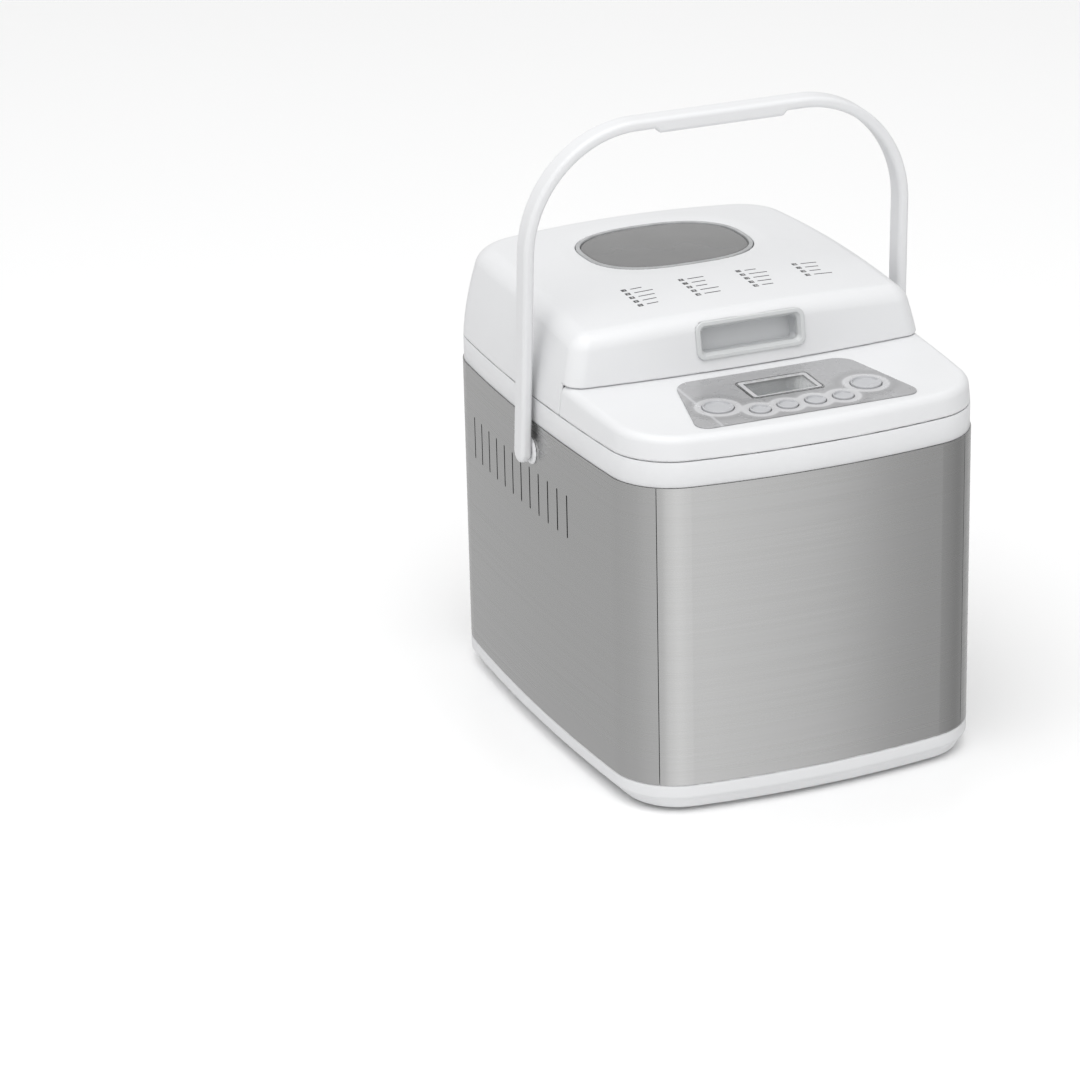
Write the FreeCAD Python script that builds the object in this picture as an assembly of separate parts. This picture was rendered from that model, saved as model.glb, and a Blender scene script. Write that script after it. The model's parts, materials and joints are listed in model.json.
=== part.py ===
import FreeCAD, Part
import math
import os
from FreeCAD import Vector

# A compact bread machine: a steel-clad body on a white base, a control deck across the front,
# a domed lid hinged at the rear, a carry handle, and a twist-lock pan over a belt-driven paddle.
# Millimetres. +Z is up, the control deck faces -Y, and the origin is on the floor under the middle.

# Plan of the body: a rectangle with bowed sides, offset outwards by the corner radius.
CORNER_X = 81.6
CORNER_Y = 117.3
CORNER_RADIUS = 43.9
BOW_SIDE = 4.5
BOW_FRONT = 6.0
BOW_REAR = 3.8
PLAN_Y = -0.75

# Heights above the floor.
STEEL_BOTTOM = 20.5
STEEL_TOP = 222.8
SEAM = 239.5
SEAM_GAP = 0.4
BAND_BOTTOM = 10.5
TRAY_BOTTOM = 2.5

# Casing.
SHEET = 0.8
PANEL_GAP = 0.4
WALL = 2.5
RIM_INSET = 0.8
FRONT_SEAM_X = 108.0

# Side profile of the lid and deck above the seam: (height, inset from the steel).
FLANK = [(SEAM + SEAM_GAP, 0.9), (259.5, 3.2), (278.0, 7.2), (296.0, 12.4), (312.0, 18.0)]
DECK_BACK_Y = -60.25
DECK_BACK_Z = 259.8
DECK_TILT = 2.58
PARTING_Y = -48.0
DOME_FRONT_Y = -67.0
DOME_FRONT_LEAN = 10.0
DOME_FRONT_RADIUS = 1243.0
DOME_TOP_FRONT = (-75.0, 294.4)
DOME_TOP_MIDDLE = (51.0, 304.3)
DOME_TOP_REAR = (170.0, 301.6)
DOME_EDGE = 9.0
DOME_CORNER = 10.5
DECK_EDGE = 5.0

# Window in the lid.
WINDOW_Y = 69.5
WINDOW_HALF_X = 56.0
WINDOW_HALF_Y = 42.5
WINDOW_POWER = 2.6

# Lid hinge, outside the rear wall and low enough for the lid to pass under the upright handle.
HINGE_Y = 165.3
HINGE_Z = 216.0
BARREL_RADIUS = 2.8
HINGE_PIN_RADIUS = 1.2
HINGE_WALL_Y = 158.0
BODY_KNUCKLES = [(54, 62), (80, 88), (-62, -54), (-88, -80)]
LID_KNUCKLES = [(62.3, 79.7), (-79.7, -62.3)]

# Carry handle.
PIVOT_Y = -3.8
PIVOT_Z = 202.6
HANDLE_LEAN = 3.4
HANDLE_FOOT_X = 139.6
HANDLE_SHOULDER_X = 137.4
HANDLE_SHOULDER = 134.5
HANDLE_RISE = 217.3
HANDLE_FLAT_X = 58.5
STRAP_THICK = 7.4
STRAP_WIDE = 15.0
PIVOT_PIN_RADIUS = 3.0

# Controls on the deck, at (x, y) from the middle of the deck's rear edge.
BUTTONS = {
    "button_start": (51.9, -63.9, 10.0),
    "button_menu": (-51.9, -63.9, 10.0),
    "button_crust": (-29.0, -77.4, 6.7),
    "button_time_down": (-9.7, -77.0, 6.7),
    "button_time_up": (9.7, -77.0, 6.7),
    "button_loaf_size": (29.0, -77.4, 6.7),
}
DISPLAY_Y = -45.5
DISPLAY_HALF_X = 25.5
DISPLAY_HALF_Y = 14.6

# Finger recess in the lid's front face.
GRIP_HALF_X = 38.5
GRIP_HALF_UP = 12.6
GRIP_Z = 280.2
GRIP_DEPTH = 15.0

# Screws: (x, y) places in the base, in the lid's liner, and the feet.
FOOT_PLACES = [(-97, -131), (97, -131), (-97, 128), (97, 128)]
BASE_SCREW_PLACES = [(-88, -90), (88, -90), (-100, 0), (100, 0), (-88, 100), (88, 100)]
LID_SCREW_PLACES = [(-113, 10), (113, 10), (-113, 100), (113, 100)]

# Baking chamber, pan and drive, all on one vertical axis.
AXIS_Y = 50.0
CHAMBER_HALF_X = 98.0
CHAMBER_HALF_Y = 94.0
CHAMBER_FLOOR = 70.0
CHAMBER_TOP = 232.0
PAN_BOTTOM = 92.0
PAN_TOP = 222.0
BAIL_PIVOT_Z = 226.5
BAIL_REACH = 53.0
BAIL_X = 80.5
PULLEY_Z = 24.0
BIG_PULLEY = 48.0
SMALL_PULLEY = 8.0
MOTOR_Y = -108.0
SHAFT_RADIUS = 5.0
FIT = 0.05
COUPLING_Z = 76.0
LUG_ANGLE = 13.0
SHAFT_TOP_RADIUS = 4.0
BUSH_RADIUS = 9.0
FLANGE_SCREW_REACH = 24.0
PLATE_TOP = 13.5

# Heating element and its sensor, in the chamber.
ELEMENT_Z = 100.0
SENSOR_Z = 150.0
SENSOR_X = 55.0
ELEMENT_X = 88.0
ELEMENT_Y = 84.5
ELEMENT_RADIUS = 3.2
TERMINAL_X = 14.0

# Gland for a mains lead, low on the rear.
GLAND_X = -60.0
GLAND_Z = 45.0
GLAND_Y = 163.0


def cylinder(radius, x, y, z0, z1):
    return Part.makeCylinder(radius, z1 - z0, Vector(x, y, z0))


def tube(outer, inner, x, y, z0, z1):
    return cylinder(outer, x, y, z0, z1).cut(cylinder(inner, x, y, z0 - 1, z1 + 1))


def x_cylinder(radius, x0, x1, y, z):
    return Part.makeCylinder(radius, x1 - x0, Vector(x0, y, z), Vector(1, 0, 0))


def y_cylinder(radius, x, y0, y1, z):
    return Part.makeCylinder(radius, y1 - y0, Vector(x, y0, z), Vector(0, 1, 0))


def box(x0, x1, y0, y1, z0, z1):
    return Part.makeBox(x1 - x0, y1 - y0, z1 - z0, Vector(x0, y0, z0))


def fuse(shapes):
    return shapes[0].multiFuse(shapes[1:]).removeSplitter()


def mirrored(shape):
    return shape.mirror(Vector(0, 0, 0), Vector(1, 0, 0))


def both_sides(shape):
    """A shape and its mirror image as two separate solids."""
    return Part.makeCompound([shape, mirrored(shape)])


def turned(shape, angle, x, y):
    """A copy turned about the vertical through (x, y)."""
    copy = shape.copy()
    copy.rotate(Vector(x, y, 0), Vector(0, 0, 1), angle)
    return copy


def outline(offset, z, shift=0.0):
    """The body's plan at height z, moved outwards by offset and along Y by shift."""
    radius = CORNER_RADIUS + offset
    sides = [
        (Vector(-CORNER_X, -CORNER_Y), Vector(CORNER_X, -CORNER_Y), Vector(0, -1), BOW_FRONT),
        (Vector(CORNER_X, -CORNER_Y), Vector(CORNER_X, CORNER_Y), Vector(1, 0), BOW_SIDE),
        (Vector(CORNER_X, CORNER_Y), Vector(-CORNER_X, CORNER_Y), Vector(0, 1), BOW_REAR),
        (Vector(-CORNER_X, CORNER_Y), Vector(-CORNER_X, -CORNER_Y), Vector(-1, 0), BOW_SIDE),
    ]
    place = Vector(0, PLAN_Y + shift, z)
    arcs = []
    for start, end, outward, bow in sides:
        half_chord = start.distanceToPoint(end) / 2
        bow_radius = (half_chord ** 2 + bow ** 2) / (2 * bow)
        centre = (start + end) / 2 - outward * (bow_radius - bow)
        first = start + (start - centre).normalize() * radius
        middle = centre + outward * (bow_radius + radius)
        last = end + (end - centre).normalize() * radius
        arcs.append((first, middle, last, end))
    edges = []
    for index, (first, middle, last, corner) in enumerate(arcs):
        following = arcs[(index + 1) % 4][0]
        bisector = (last - corner).normalize() + (following - corner).normalize()
        turn = corner + bisector.normalize() * radius
        edges.append(Part.Arc(first + place, middle + place, last + place).toShape())
        edges.append(Part.Arc(last + place, turn + place, following + place).toShape())
    return Part.Wire(edges)


def slab(offset, z0, z1):
    return Part.Face(outline(offset, z0)).extrude(Vector(0, 0, z1 - z0))


def ring(outer, inner, z0, z1):
    return slab(outer, z0, z1).cut(slab(inner, z0 - 1, z1 + 1))


def rounded_rectangle(half_x, half_y, radius, x, y, z):
    """A closed wire, square to the axes, with four round corners."""
    bulge = radius * (1 - math.sqrt(0.5))
    corners = []
    for sx, sy in ((1, -1), (1, 1), (-1, 1), (-1, -1)):
        before = Vector(x + sx * (half_x - radius), y + sy * half_y, z)
        after = Vector(x + sx * half_x, y + sy * (half_y - radius), z)
        if sx * sy > 0:
            before, after = after, before
        middle = Vector(x + sx * (half_x - bulge), y + sy * (half_y - bulge), z)
        corners.append((before, middle, after))
    edges = []
    for index, (before, middle, after) in enumerate(corners):
        edges.append(Part.Arc(before, middle, after).toShape())
        edges.append(Part.LineSegment(after, corners[(index + 1) % 4][0]).toShape())
    return Part.Wire(edges)


def rounded_block(half_x, half_y, radius, x, y, z0, z1):
    face = Part.Face(rounded_rectangle(half_x, half_y, radius, x, y, z0))
    return face.extrude(Vector(0, 0, z1 - z0))


def rounded_taper(low, high, x, y):
    """A loft between two rounded rectangles, each given as (z, half_x, half_y, radius)."""
    wires = [rounded_rectangle(hx, hy, radius, x, y, z) for z, hx, hy, radius in (low, high)]
    return Part.makeLoft(wires, True, True)


def yz_prism(wire, half_width):
    """A closed wire in a YZ plane, swept across the machine."""
    face = Part.Face(wire)
    face.translate(Vector(-half_width, 0, 0))
    return face.extrude(Vector(2 * half_width, 0, 0))


def yz_polygon(points):
    corners = [Vector(0, y, z) for y, z in points]
    return Part.makePolygon(corners + corners[:1])


def rounded_path(points, radii):
    """A path through points whose inner corners are arcs of the given radii."""
    edges = []
    last = points[0]
    for before, corner, after, radius in zip(points, points[1:], points[2:], radii):
        inwards = (before - corner).normalize()
        outwards = (after - corner).normalize()
        half_turn = inwards.getAngle(outwards) / 2
        reach = radius / math.tan(half_turn)
        start = corner + inwards * reach
        end = corner + outwards * reach
        bisector = (inwards + outwards).normalize()
        middle = corner + bisector * (radius / math.sin(half_turn) - radius)
        edges.append(Part.LineSegment(last, start).toShape())
        edges.append(Part.Arc(start, middle, end).toShape())
        last = end
    edges.append(Part.LineSegment(last, points[-1]).toShape())
    return Part.Wire(edges)


def rod(points, radii, radius):
    """A round rod along a rounded path."""
    path = rounded_path(points, radii)
    direction = points[1] - points[0]
    section = Part.Wire(Part.makeCircle(radius, points[0], direction))
    return path.makePipeShell([section], True, False)


def vertical_edges(shape):
    found = []
    for edge in shape.Edges:
        start, end = edge.Vertexes[0].Point, edge.Vertexes[-1].Point
        if abs(start.x - end.x) < 0.01 and abs(start.y - end.y) < 0.01:
            found.append(edge)
    return found


# ---------------------------------------------------------------- casing

def tray_outside(inset, floor):
    band = slab(-inset, BAND_BOTTOM, STEEL_BOTTOM - 0.2)
    low = outline(-9.0 - inset, floor, -4.5)
    high = outline(-1.6 - inset, BAND_BOTTOM, -0.6)
    return band.fuse(Part.makeLoft([low, high], True, True))


def base_tray():
    """White base moulding: a flush band under the steel and a tucked-in tier below it."""
    tray = tray_outside(0, TRAY_BOTTOM).cut(tray_outside(WALL, TRAY_BOTTOM + WALL))
    lip = ring(-1.2, -3.4, 17.0, STEEL_BOTTOM + 5)
    bosses = [cylinder(5, x, y, TRAY_BOTTOM + 1, 12) for x, y in BASE_SCREW_PLACES]
    tray = fuse([tray, lip] + bosses)
    cuts = [cylinder(1.7, x, y, 0, 13) for x, y in BASE_SCREW_PLACES]
    cuts += [cylinder(3.4, x, y, 0, TRAY_BOTTOM + 1.6) for x, y in BASE_SCREW_PLACES]
    cuts += [cylinder(3.1, x, y, 0, 12) for x, y in FOOT_PLACES]
    for row in range(-3, 4):
        cuts.append(box(-45, 45, MOTOR_Y + 9 * row - 1.5, MOTOR_Y + 9 * row + 1.5, 0, 6))
    return tray.cut(Part.makeCompound(cuts))


def rubber_feet():
    feet = []
    for x, y in FOOT_PLACES:
        pad = Part.makeCone(9.5, 11.5, TRAY_BOTTOM, Vector(x, y, 0))
        feet.append(fuse([pad, cylinder(3, x, y, TRAY_BOTTOM, TRAY_BOTTOM + 5)]))
    return Part.makeCompound(feet)


def screw(x, y, z, length, head):
    """A pan-head screw standing on its head at height z."""
    return fuse([cylinder(head, x, y, z, z + 1.5), cylinder(1.6, x, y, z, z + length)])


def chassis_screws():
    """Six screws up through the base, and four down through the bearing's flange."""
    screws = [screw(x, y, TRAY_BOTTOM, 13.0, 3.2) for x, y in BASE_SCREW_PLACES]
    floor_top = CHAMBER_FLOOR + 1.2
    shank = cylinder(1.6, FLANGE_SCREW_REACH, AXIS_Y, 62, floor_top)
    head = cylinder(3.2, FLANGE_SCREW_REACH, AXIS_Y, floor_top, floor_top + 1.4)
    return Part.makeCompound(screws + ring_of(fuse([shank, head]), 4, 45))


def chassis_plate():
    """Galvanised plate that carries the chamber and the drive."""
    plate = rounded_block(108, 140, 18, 0, -1, PLATE_TOP - 1.5, PLATE_TOP)
    holes = [cylinder(1.7, x, y, 11, 15) for x, y in BASE_SCREW_PLACES]
    lightening = box(-40, 40, -70, -10, 11, 15)
    return plate.cut(Part.makeCompound(holes + [lightening]))


def sheet_ring():
    return ring(0, -SHEET, STEEL_BOTTOM, STEEL_TOP)


def seam_prism(sign_y):
    """The space in front of or behind the corner seams of the steel skin."""
    half = FRONT_SEAM_X
    if sign_y < 0:
        return box(-half, half, -200, -90, 0, 260)
    return box(-half, half, 90, 200, 0, 260)


def vent_slots(side):
    slots = []
    for index in range(12):
        y = 103.8 - 14.82 * index
        x0, x1 = sorted((side * 120, side * 135))
        upright = box(x0, x1, y - 0.8, y + 0.8, 160.8, 188.7)
        slots += [upright, x_cylinder(0.8, x0, x1, y, 160.8), x_cylinder(0.8, x0, x1, y, 188.7)]
    return fuse(slots)


def front_panel():
    """Brushed steel front sheet, wrapped a little way round both front corners."""
    return sheet_ring().common(seam_prism(-1))


def rear_panel():
    panel = sheet_ring().common(seam_prism(1))
    holes = [y_cylinder(6.0, GLAND_X, 150, 175, GLAND_Z)]
    for index in range(9):
        x = -48 + 12 * index
        holes.append(box(x - 1, x + 1, 150, 175, 150, 185))
    low = HINGE_Z - BARREL_RADIUS - 0.6
    for x0, x1 in ((53.5, 88.5), (-88.5, -53.5)):
        holes.append(box(x0, x1, 150, 175, low, STEEL_TOP + 5))
    return panel.cut(Part.makeCompound(holes))


def side_panel(side):
    """Brushed steel side sheet with a row of upright vents and the handle's pivot hole."""
    gap = FRONT_SEAM_X + PANEL_GAP
    front = box(-gap, gap, -200, -90, 0, 260)
    back = box(-gap, gap, 90, 200, 0, 260)
    half = box(0, 160, -200, 200, 0, 260) if side > 0 else box(-160, 0, -200, 200, 0, 260)
    panel = sheet_ring().common(half).cut(front.fuse(back))
    x0, x1 = sorted((side * 120, side * 135))
    pivot_hole = x_cylinder(PIVOT_PIN_RADIUS + 0.1, x0, x1, PIVOT_Y, PIVOT_Z)
    return panel.cut(Part.makeCompound([vent_slots(side), pivot_hole]))


def hinge_barrels(ranges):
    return [x_cylinder(BARREL_RADIUS, x0, x1, HINGE_Y, HINGE_Z) for x0, x1 in ranges]


def body_knuckles():
    """Barrels on webs from the rim's rear wall, in notches in the rear sheet."""
    low, high = HINGE_Z - 1.0, HINGE_Z + BARREL_RADIUS
    webs = [box(x0, x1, HINGE_WALL_Y, HINGE_Y, low, high) for x0, x1 in BODY_KNUCKLES]
    return hinge_barrels(BODY_KNUCKLES) + webs


def lid_knuckles():
    """Barrels on arms that reach down behind the rim from the lid's rear wall."""
    low, high = SEAM + 0.8, SEAM + 8.0
    front = HINGE_Y - BARREL_RADIUS
    arms = [box(x0, x1, front, HINGE_Y + 1.2, HINGE_Z, high) for x0, x1 in LID_KNUCKLES]
    roots = [box(x0, x1, HINGE_WALL_Y, HINGE_Y, low, high) for x0, x1 in LID_KNUCKLES]
    return hinge_barrels(LID_KNUCKLES) + arms + roots


def upper_rim():
    """White ring on top of the steel, with a shelf round the chamber's mouth."""
    wall = ring(-RIM_INSET, -RIM_INSET - WALL, STEEL_TOP + 0.2, SEAM)
    lip = ring(-SHEET - 0.6, -RIM_INSET - WALL, STEEL_TOP - 8, STEEL_TOP + 1)
    shelf = slab(-RIM_INSET - 1, CHAMBER_TOP, CHAMBER_TOP + 2.2)
    mouth = rounded_block(CHAMBER_HALF_X + 1, CHAMBER_HALF_Y + 1, 23, 0, AXIS_Y, 220, 245)
    wiring_gap = box(-88, 88, -148, -64, 220, 245)
    shelf = shelf.cut(mouth.fuse(wiring_gap))
    rim = fuse([wall, lip, shelf] + body_knuckles())
    return rim.cut(x_cylinder(HINGE_PIN_RADIUS, -90, 90, HINGE_Y, HINGE_Z))


def flank_loft(inset):
    """The leaning sides shared by the lid and the deck, moved inwards by inset."""
    wires = [outline(-depth - inset, z) for z, depth in FLANK]
    return Part.makeLoft(wires, True, False)


def deck_line(drop):
    """Two points of the deck's top in the YZ plane, lowered by drop."""
    slope = math.tan(math.radians(DECK_TILT))
    front = -190.0
    back = 190.0
    return [(front, DECK_BACK_Z - drop + slope * (front - DECK_BACK_Y)),
            (back, DECK_BACK_Z - drop + slope * (back - DECK_BACK_Y))]


def under_deck(drop):
    (y0, z0), (y1, z1) = deck_line(drop)
    return yz_prism(yz_polygon([(y0, 200), (y1, 200), (y1, z1), (y0, z0)]), 160)


def under_dome_top(drop):
    """Everything below the lid's gently arched top, lowered by drop."""
    front, middle, rear = [Vector(0, y, z - drop)
                           for y, z in (DOME_TOP_FRONT, DOME_TOP_MIDDLE, DOME_TOP_REAR)]
    low_front = Vector(0, DOME_TOP_FRONT[0], 200)
    low_rear = Vector(0, DOME_TOP_REAR[0], 200)
    edges = [
        Part.Arc(front, middle, rear).toShape(),
        Part.LineSegment(rear, low_rear).toShape(),
        Part.LineSegment(low_rear, low_front).toShape(),
        Part.LineSegment(low_front, front).toShape(),
    ]
    return yz_prism(Part.Wire(edges), 160)


def behind_dome_front(inset):
    """Everything behind the lid's leaning, bowed front face, moved back by inset."""
    radius = DOME_FRONT_RADIUS - inset
    lean = math.radians(DOME_FRONT_LEAN)
    axis = Vector(0, math.sin(lean), math.cos(lean))
    foot = Vector(0, DOME_FRONT_Y + DOME_FRONT_RADIUS / math.cos(lean), DECK_BACK_Z)
    return Part.makeCylinder(radius, 900, foot - axis * 450, axis)


def on_deck(shape):
    """Set a shape, built flat about the middle of the deck's rear edge, onto the deck."""
    shape.rotate(Vector(0, 0, 0), Vector(1, 0, 0), DECK_TILT)
    shape.translate(Vector(0, DECK_BACK_Y, DECK_BACK_Z))
    return shape


def deck_openings():
    holes = [cylinder(radius + 0.35, x, y, -12, 8) for x, y, radius in BUTTONS.values()]
    holes.append(rounded_block(DISPLAY_HALF_X, DISPLAY_HALF_Y, 3, 0, DISPLAY_Y, -12, 8))
    return on_deck(Part.makeCompound(holes))


def deck_outside():
    front = box(-150, 150, -200, PARTING_Y - SEAM_GAP, 200, 300)
    body = flank_loft(0).common(under_deck(0)).common(front)
    slope = math.tan(math.radians(DECK_TILT))
    top_edges = []
    for edge in body.Edges:
        heights = [abs(v.Z - DECK_BACK_Z - slope * (v.Y - DECK_BACK_Y)) for v in edge.Vertexes]
        at_back = all(v.Y > PARTING_Y - SEAM_GAP - 0.1 for v in edge.Vertexes)
        if max(heights) < 0.05 and not at_back:
            top_edges.append(edge)
    return body.makeFillet(DECK_EDGE, top_edges)


def deck_housing():
    """White control deck across the front, fixed to the rim, with posts for the board."""
    back = PARTING_Y - SEAM_GAP - WALL
    room = box(-150, 150, -200, back, 200, 300)
    hollow = flank_loft(WALL).fuse(slab(-0.9 - WALL, SEAM, SEAM + 1))
    hollow = hollow.common(under_deck(WALL)).common(room)
    shell = deck_outside().cut(hollow)
    spigot = ring(-RIM_INSET - WALL - 0.2, -RIM_INSET - 2 * WALL + 0.6, SEAM - 3, SEAM + 2)
    spigot = spigot.common(room)
    posts = [cylinder(3, x, y, -7.8, -2.0) for x in (-70, 70) for y in (-33, -83)]
    posts = on_deck(Part.makeCompound(posts))
    return fuse([shell, spigot, posts]).cut(deck_openings())


def lid_form(inset, step):
    """The lid's form: a skirt behind the parting line, and a dome that stands on the deck.

    step lifts the dome's foot off the deck in front of the parting line.
    """
    sides = flank_loft(inset)
    behind = box(-150, 150, PARTING_Y, 200, 200, 300)
    in_front = box(-150, 150, -200, PARTING_Y, 200, 300)
    skirt = sides.common(under_deck(0)).common(behind)
    dome = sides.common(behind_dome_front(inset)).common(under_dome_top(inset))
    dome = dome.cut(under_deck(-step))
    uprights = []
    for edge in dome.Edges:
        low = min(v.Z for v in edge.Vertexes)
        high = max(v.Z for v in edge.Vertexes)
        if high - low > 20 and all(v.Y < -20 for v in edge.Vertexes):
            uprights.append(edge)
    dome = dome.makeFillet(DOME_CORNER - inset, uprights)
    crown = [edge for edge in dome.Edges if min(v.Z for v in edge.Vertexes) > 285]
    dome = dome.makeFillet(DOME_EDGE - inset, crown)
    middle = sides.common(under_deck(-step - 1)).cut(under_deck(1)).common(behind)
    middle = middle.common(behind_dome_front(inset))
    return skirt.fuse(dome.cut(in_front.common(under_deck(-step)))).fuse(middle)


def window_wire(grow, z):
    """The window's outline: a superellipse, grown outwards by grow."""
    count = 48
    points = []
    for index in range(count):
        angle = 2 * math.pi * index / count
        c, s = math.cos(angle), math.sin(angle)
        power = 2 / WINDOW_POWER
        x = (WINDOW_HALF_X + grow) * math.copysign(abs(c) ** power, c)
        y = (WINDOW_HALF_Y + grow) * math.copysign(abs(s) ** power, s)
        points.append(Vector(x, WINDOW_Y + y, z))
    curve = Part.BSplineCurve()
    curve.interpolate(points, PeriodicFlag=True)
    return Part.Wire(curve.toShape())


def window_prism(grow, z0, z1):
    return Part.Face(window_wire(grow, z0)).extrude(Vector(0, 0, z1 - z0))


def on_dome_front(shape):
    """Set a shape, built about X and Z with -Y outwards, onto the lid's front face."""
    lean = math.radians(DOME_FRONT_LEAN)
    shape.rotate(Vector(0, 0, 0), Vector(1, 0, 0), -DOME_FRONT_LEAN)
    rise = GRIP_Z - DECK_BACK_Z
    shape.translate(Vector(0, DOME_FRONT_Y + rise * math.tan(lean), GRIP_Z))
    return shape


def grip_block(half_x, half_up, radius, depth0, depth1):
    """A rounded block in the front face's own frame, from depth0 to depth1 behind it."""
    block = rounded_block(half_x, half_up, radius, 0, 0, depth0, depth1)
    block.rotate(Vector(0, 0, 0), Vector(1, 0, 0), -90)
    return block


def lid_outer_shell():
    """White lid moulding, open below, with holes for the window and the grip."""
    hollow = lid_form(WALL, -3.0)
    front_opening = box(-124, 124, PARTING_Y - 5, PARTING_Y + 5, 230, 256)
    shell = lid_form(0, SEAM_GAP).cut(hollow).cut(front_opening)
    posts = [cylinder(3.5, x, y, 242.1, 310) for x, y in LID_SCREW_PLACES]
    posts = Part.makeCompound(posts).common(hollow)
    shell = fuse([shell, posts])
    shell = shell.cut(Part.makeCompound([cylinder(1.4, x, y, 240, 247)
                                         for x, y in LID_SCREW_PLACES]))
    shell = shell.cut(window_prism(3.2, 280, 320))
    grip_hole = grip_block(GRIP_HALF_X - 1.5, GRIP_HALF_UP - 1.5, 4, -5, 12)
    grip_recess = grip_block(GRIP_HALF_X + 0.1, GRIP_HALF_UP + 0.1, 6.1, -5, 1.0)
    shell = shell.cut(on_dome_front(grip_hole)).cut(on_dome_front(grip_recess))
    shell = fuse([shell] + lid_knuckles())
    return shell.cut(x_cylinder(HINGE_PIN_RADIUS + FIT, -90, 90, HINGE_Y, HINGE_Z))


def lid_inner_shell():
    """Aluminium liner inside the lid: an upturned dish with a flange."""
    low, high = 241.0, 286.0
    dish = rounded_taper((low, 108, 96.5, 26), (high + 1, 102, 93, 22), 0, AXIS_Y)
    inner = rounded_taper((low - 1, 107.2, 95.7, 25), (high, 101, 92, 21), 0, AXIS_Y)
    flange = rounded_block(116, 99.6, 32, 0, AXIS_Y + 2.4, low, low + 1)
    liner = fuse([dish, flange]).cut(inner).cut(window_prism(-3.0, 270, 300))
    return liner.cut(Part.makeCompound([cylinder(1.5, x, y, 240, 247)
                                        for x, y in LID_SCREW_PLACES]))


def lid_window():
    """Smoked glass pane that follows the lid's arch."""
    layer = under_dome_top(0.7).cut(under_dome_top(4.0))
    return layer.common(window_prism(0, 280, 320))


def window_seal():
    """Frame between the liner and the pane, with a thin bead round the glass."""
    frame = window_prism(3.0, 287, 320).cut(window_prism(-3.0, 280, 320))
    frame = frame.common(under_dome_top(-0.5))
    return frame.cut(window_prism(0.05, 280, 320).cut(under_dome_top(4.05)))


def lid_grip_frame():
    """Pale grey frame round the lid's finger recess."""
    bead = grip_block(GRIP_HALF_X, GRIP_HALF_UP, 6, -1.2, 0.9)
    throat = grip_block(GRIP_HALF_X - 1.7, GRIP_HALF_UP - 1.7, 4.3, 0.5, 5)
    hole = grip_block(GRIP_HALF_X - 4.6, GRIP_HALF_UP - 4.6, 3.2, -3, 8)
    front = fuse([bead, throat]).cut(hole)
    return on_dome_front(front)


def lid_grip_cup():
    """Darker cup behind the frame, where the fingers go."""
    outer = grip_block(GRIP_HALF_X - 3.4, GRIP_HALF_UP - 3.4, 4.4, 5.0, GRIP_DEPTH)
    inner = grip_block(GRIP_HALF_X - 4.6, GRIP_HALF_UP - 4.6, 3.2, 4, GRIP_DEPTH - 1.2)
    return on_dome_front(outer.cut(inner))


def lid_screws():
    heads = []
    for x, y in LID_SCREW_PLACES:
        heads.append(fuse([cylinder(2.6, x, y, 239.9, 241.0), cylinder(1.4, x, y, 240, 246)]))
    return Part.makeCompound(heads)


def hinge_pins():
    return both_sides(x_cylinder(HINGE_PIN_RADIUS, 54.5, 87.5, HINGE_Y, HINGE_Z))


# ---------------------------------------------------------------- controls

def control_overlay():
    """Silver-grey fascia on the deck, wider at the front, with holes for the controls."""
    corners = [(-60.6, -16.4), (60.6, -16.4), (79.2, -92.0), (-79.2, -92.0)]
    wire = Part.makePolygon([Vector(x, y, 0) for x, y in corners + corners[:1]])
    plate = Part.Face(wire).extrude(Vector(0, 0, 0.9))
    plate = plate.makeFillet(11.0, vertical_edges(plate))
    holes = [cylinder(radius + 0.35, x, y, -2, 4) for x, y, radius in BUTTONS.values()]
    holes.append(rounded_block(DISPLAY_HALF_X, DISPLAY_HALF_Y, 3, 0, DISPLAY_Y, -2, 4))
    return on_deck(plate.cut(Part.makeCompound(holes)))


def display_window():
    lens = rounded_block(DISPLAY_HALF_X - 0.1, DISPLAY_HALF_Y - 0.1, 2.9, 0, DISPLAY_Y, -1.6, 1.2)
    return on_deck(lens)


def display_module():
    return on_deck(rounded_block(23, 12.8, 1, 0, DISPLAY_Y, -6.6, -1.7))


def control_board():
    """Board under the deck with a tactile switch below each button."""
    board = rounded_block(76, 33, 3, 0, -58, -9.4, -7.8)
    switches = [cylinder(3, x, y, -7.9, -6.8) for x, y, radius in BUTTONS.values()]
    return on_deck(fuse([board] + switches))


def button(x, y, radius):
    """A round push button with a stem collar under the deck's skin."""
    cap = cylinder(radius, x, y, -3.5, 2.0)
    rim = [edge for edge in cap.Edges if edge.Vertexes[0].Z > 1.9]
    cap = cap.makeFillet(1.2, rim)
    collar = cylinder(radius + 1.1, x, y, -4.4, -2.9)
    stem = cylinder(2.2, x, y, -5.9, -4.0)
    return on_deck(fuse([cap, collar, stem]))


# ---------------------------------------------------------------- carry handle

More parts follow.
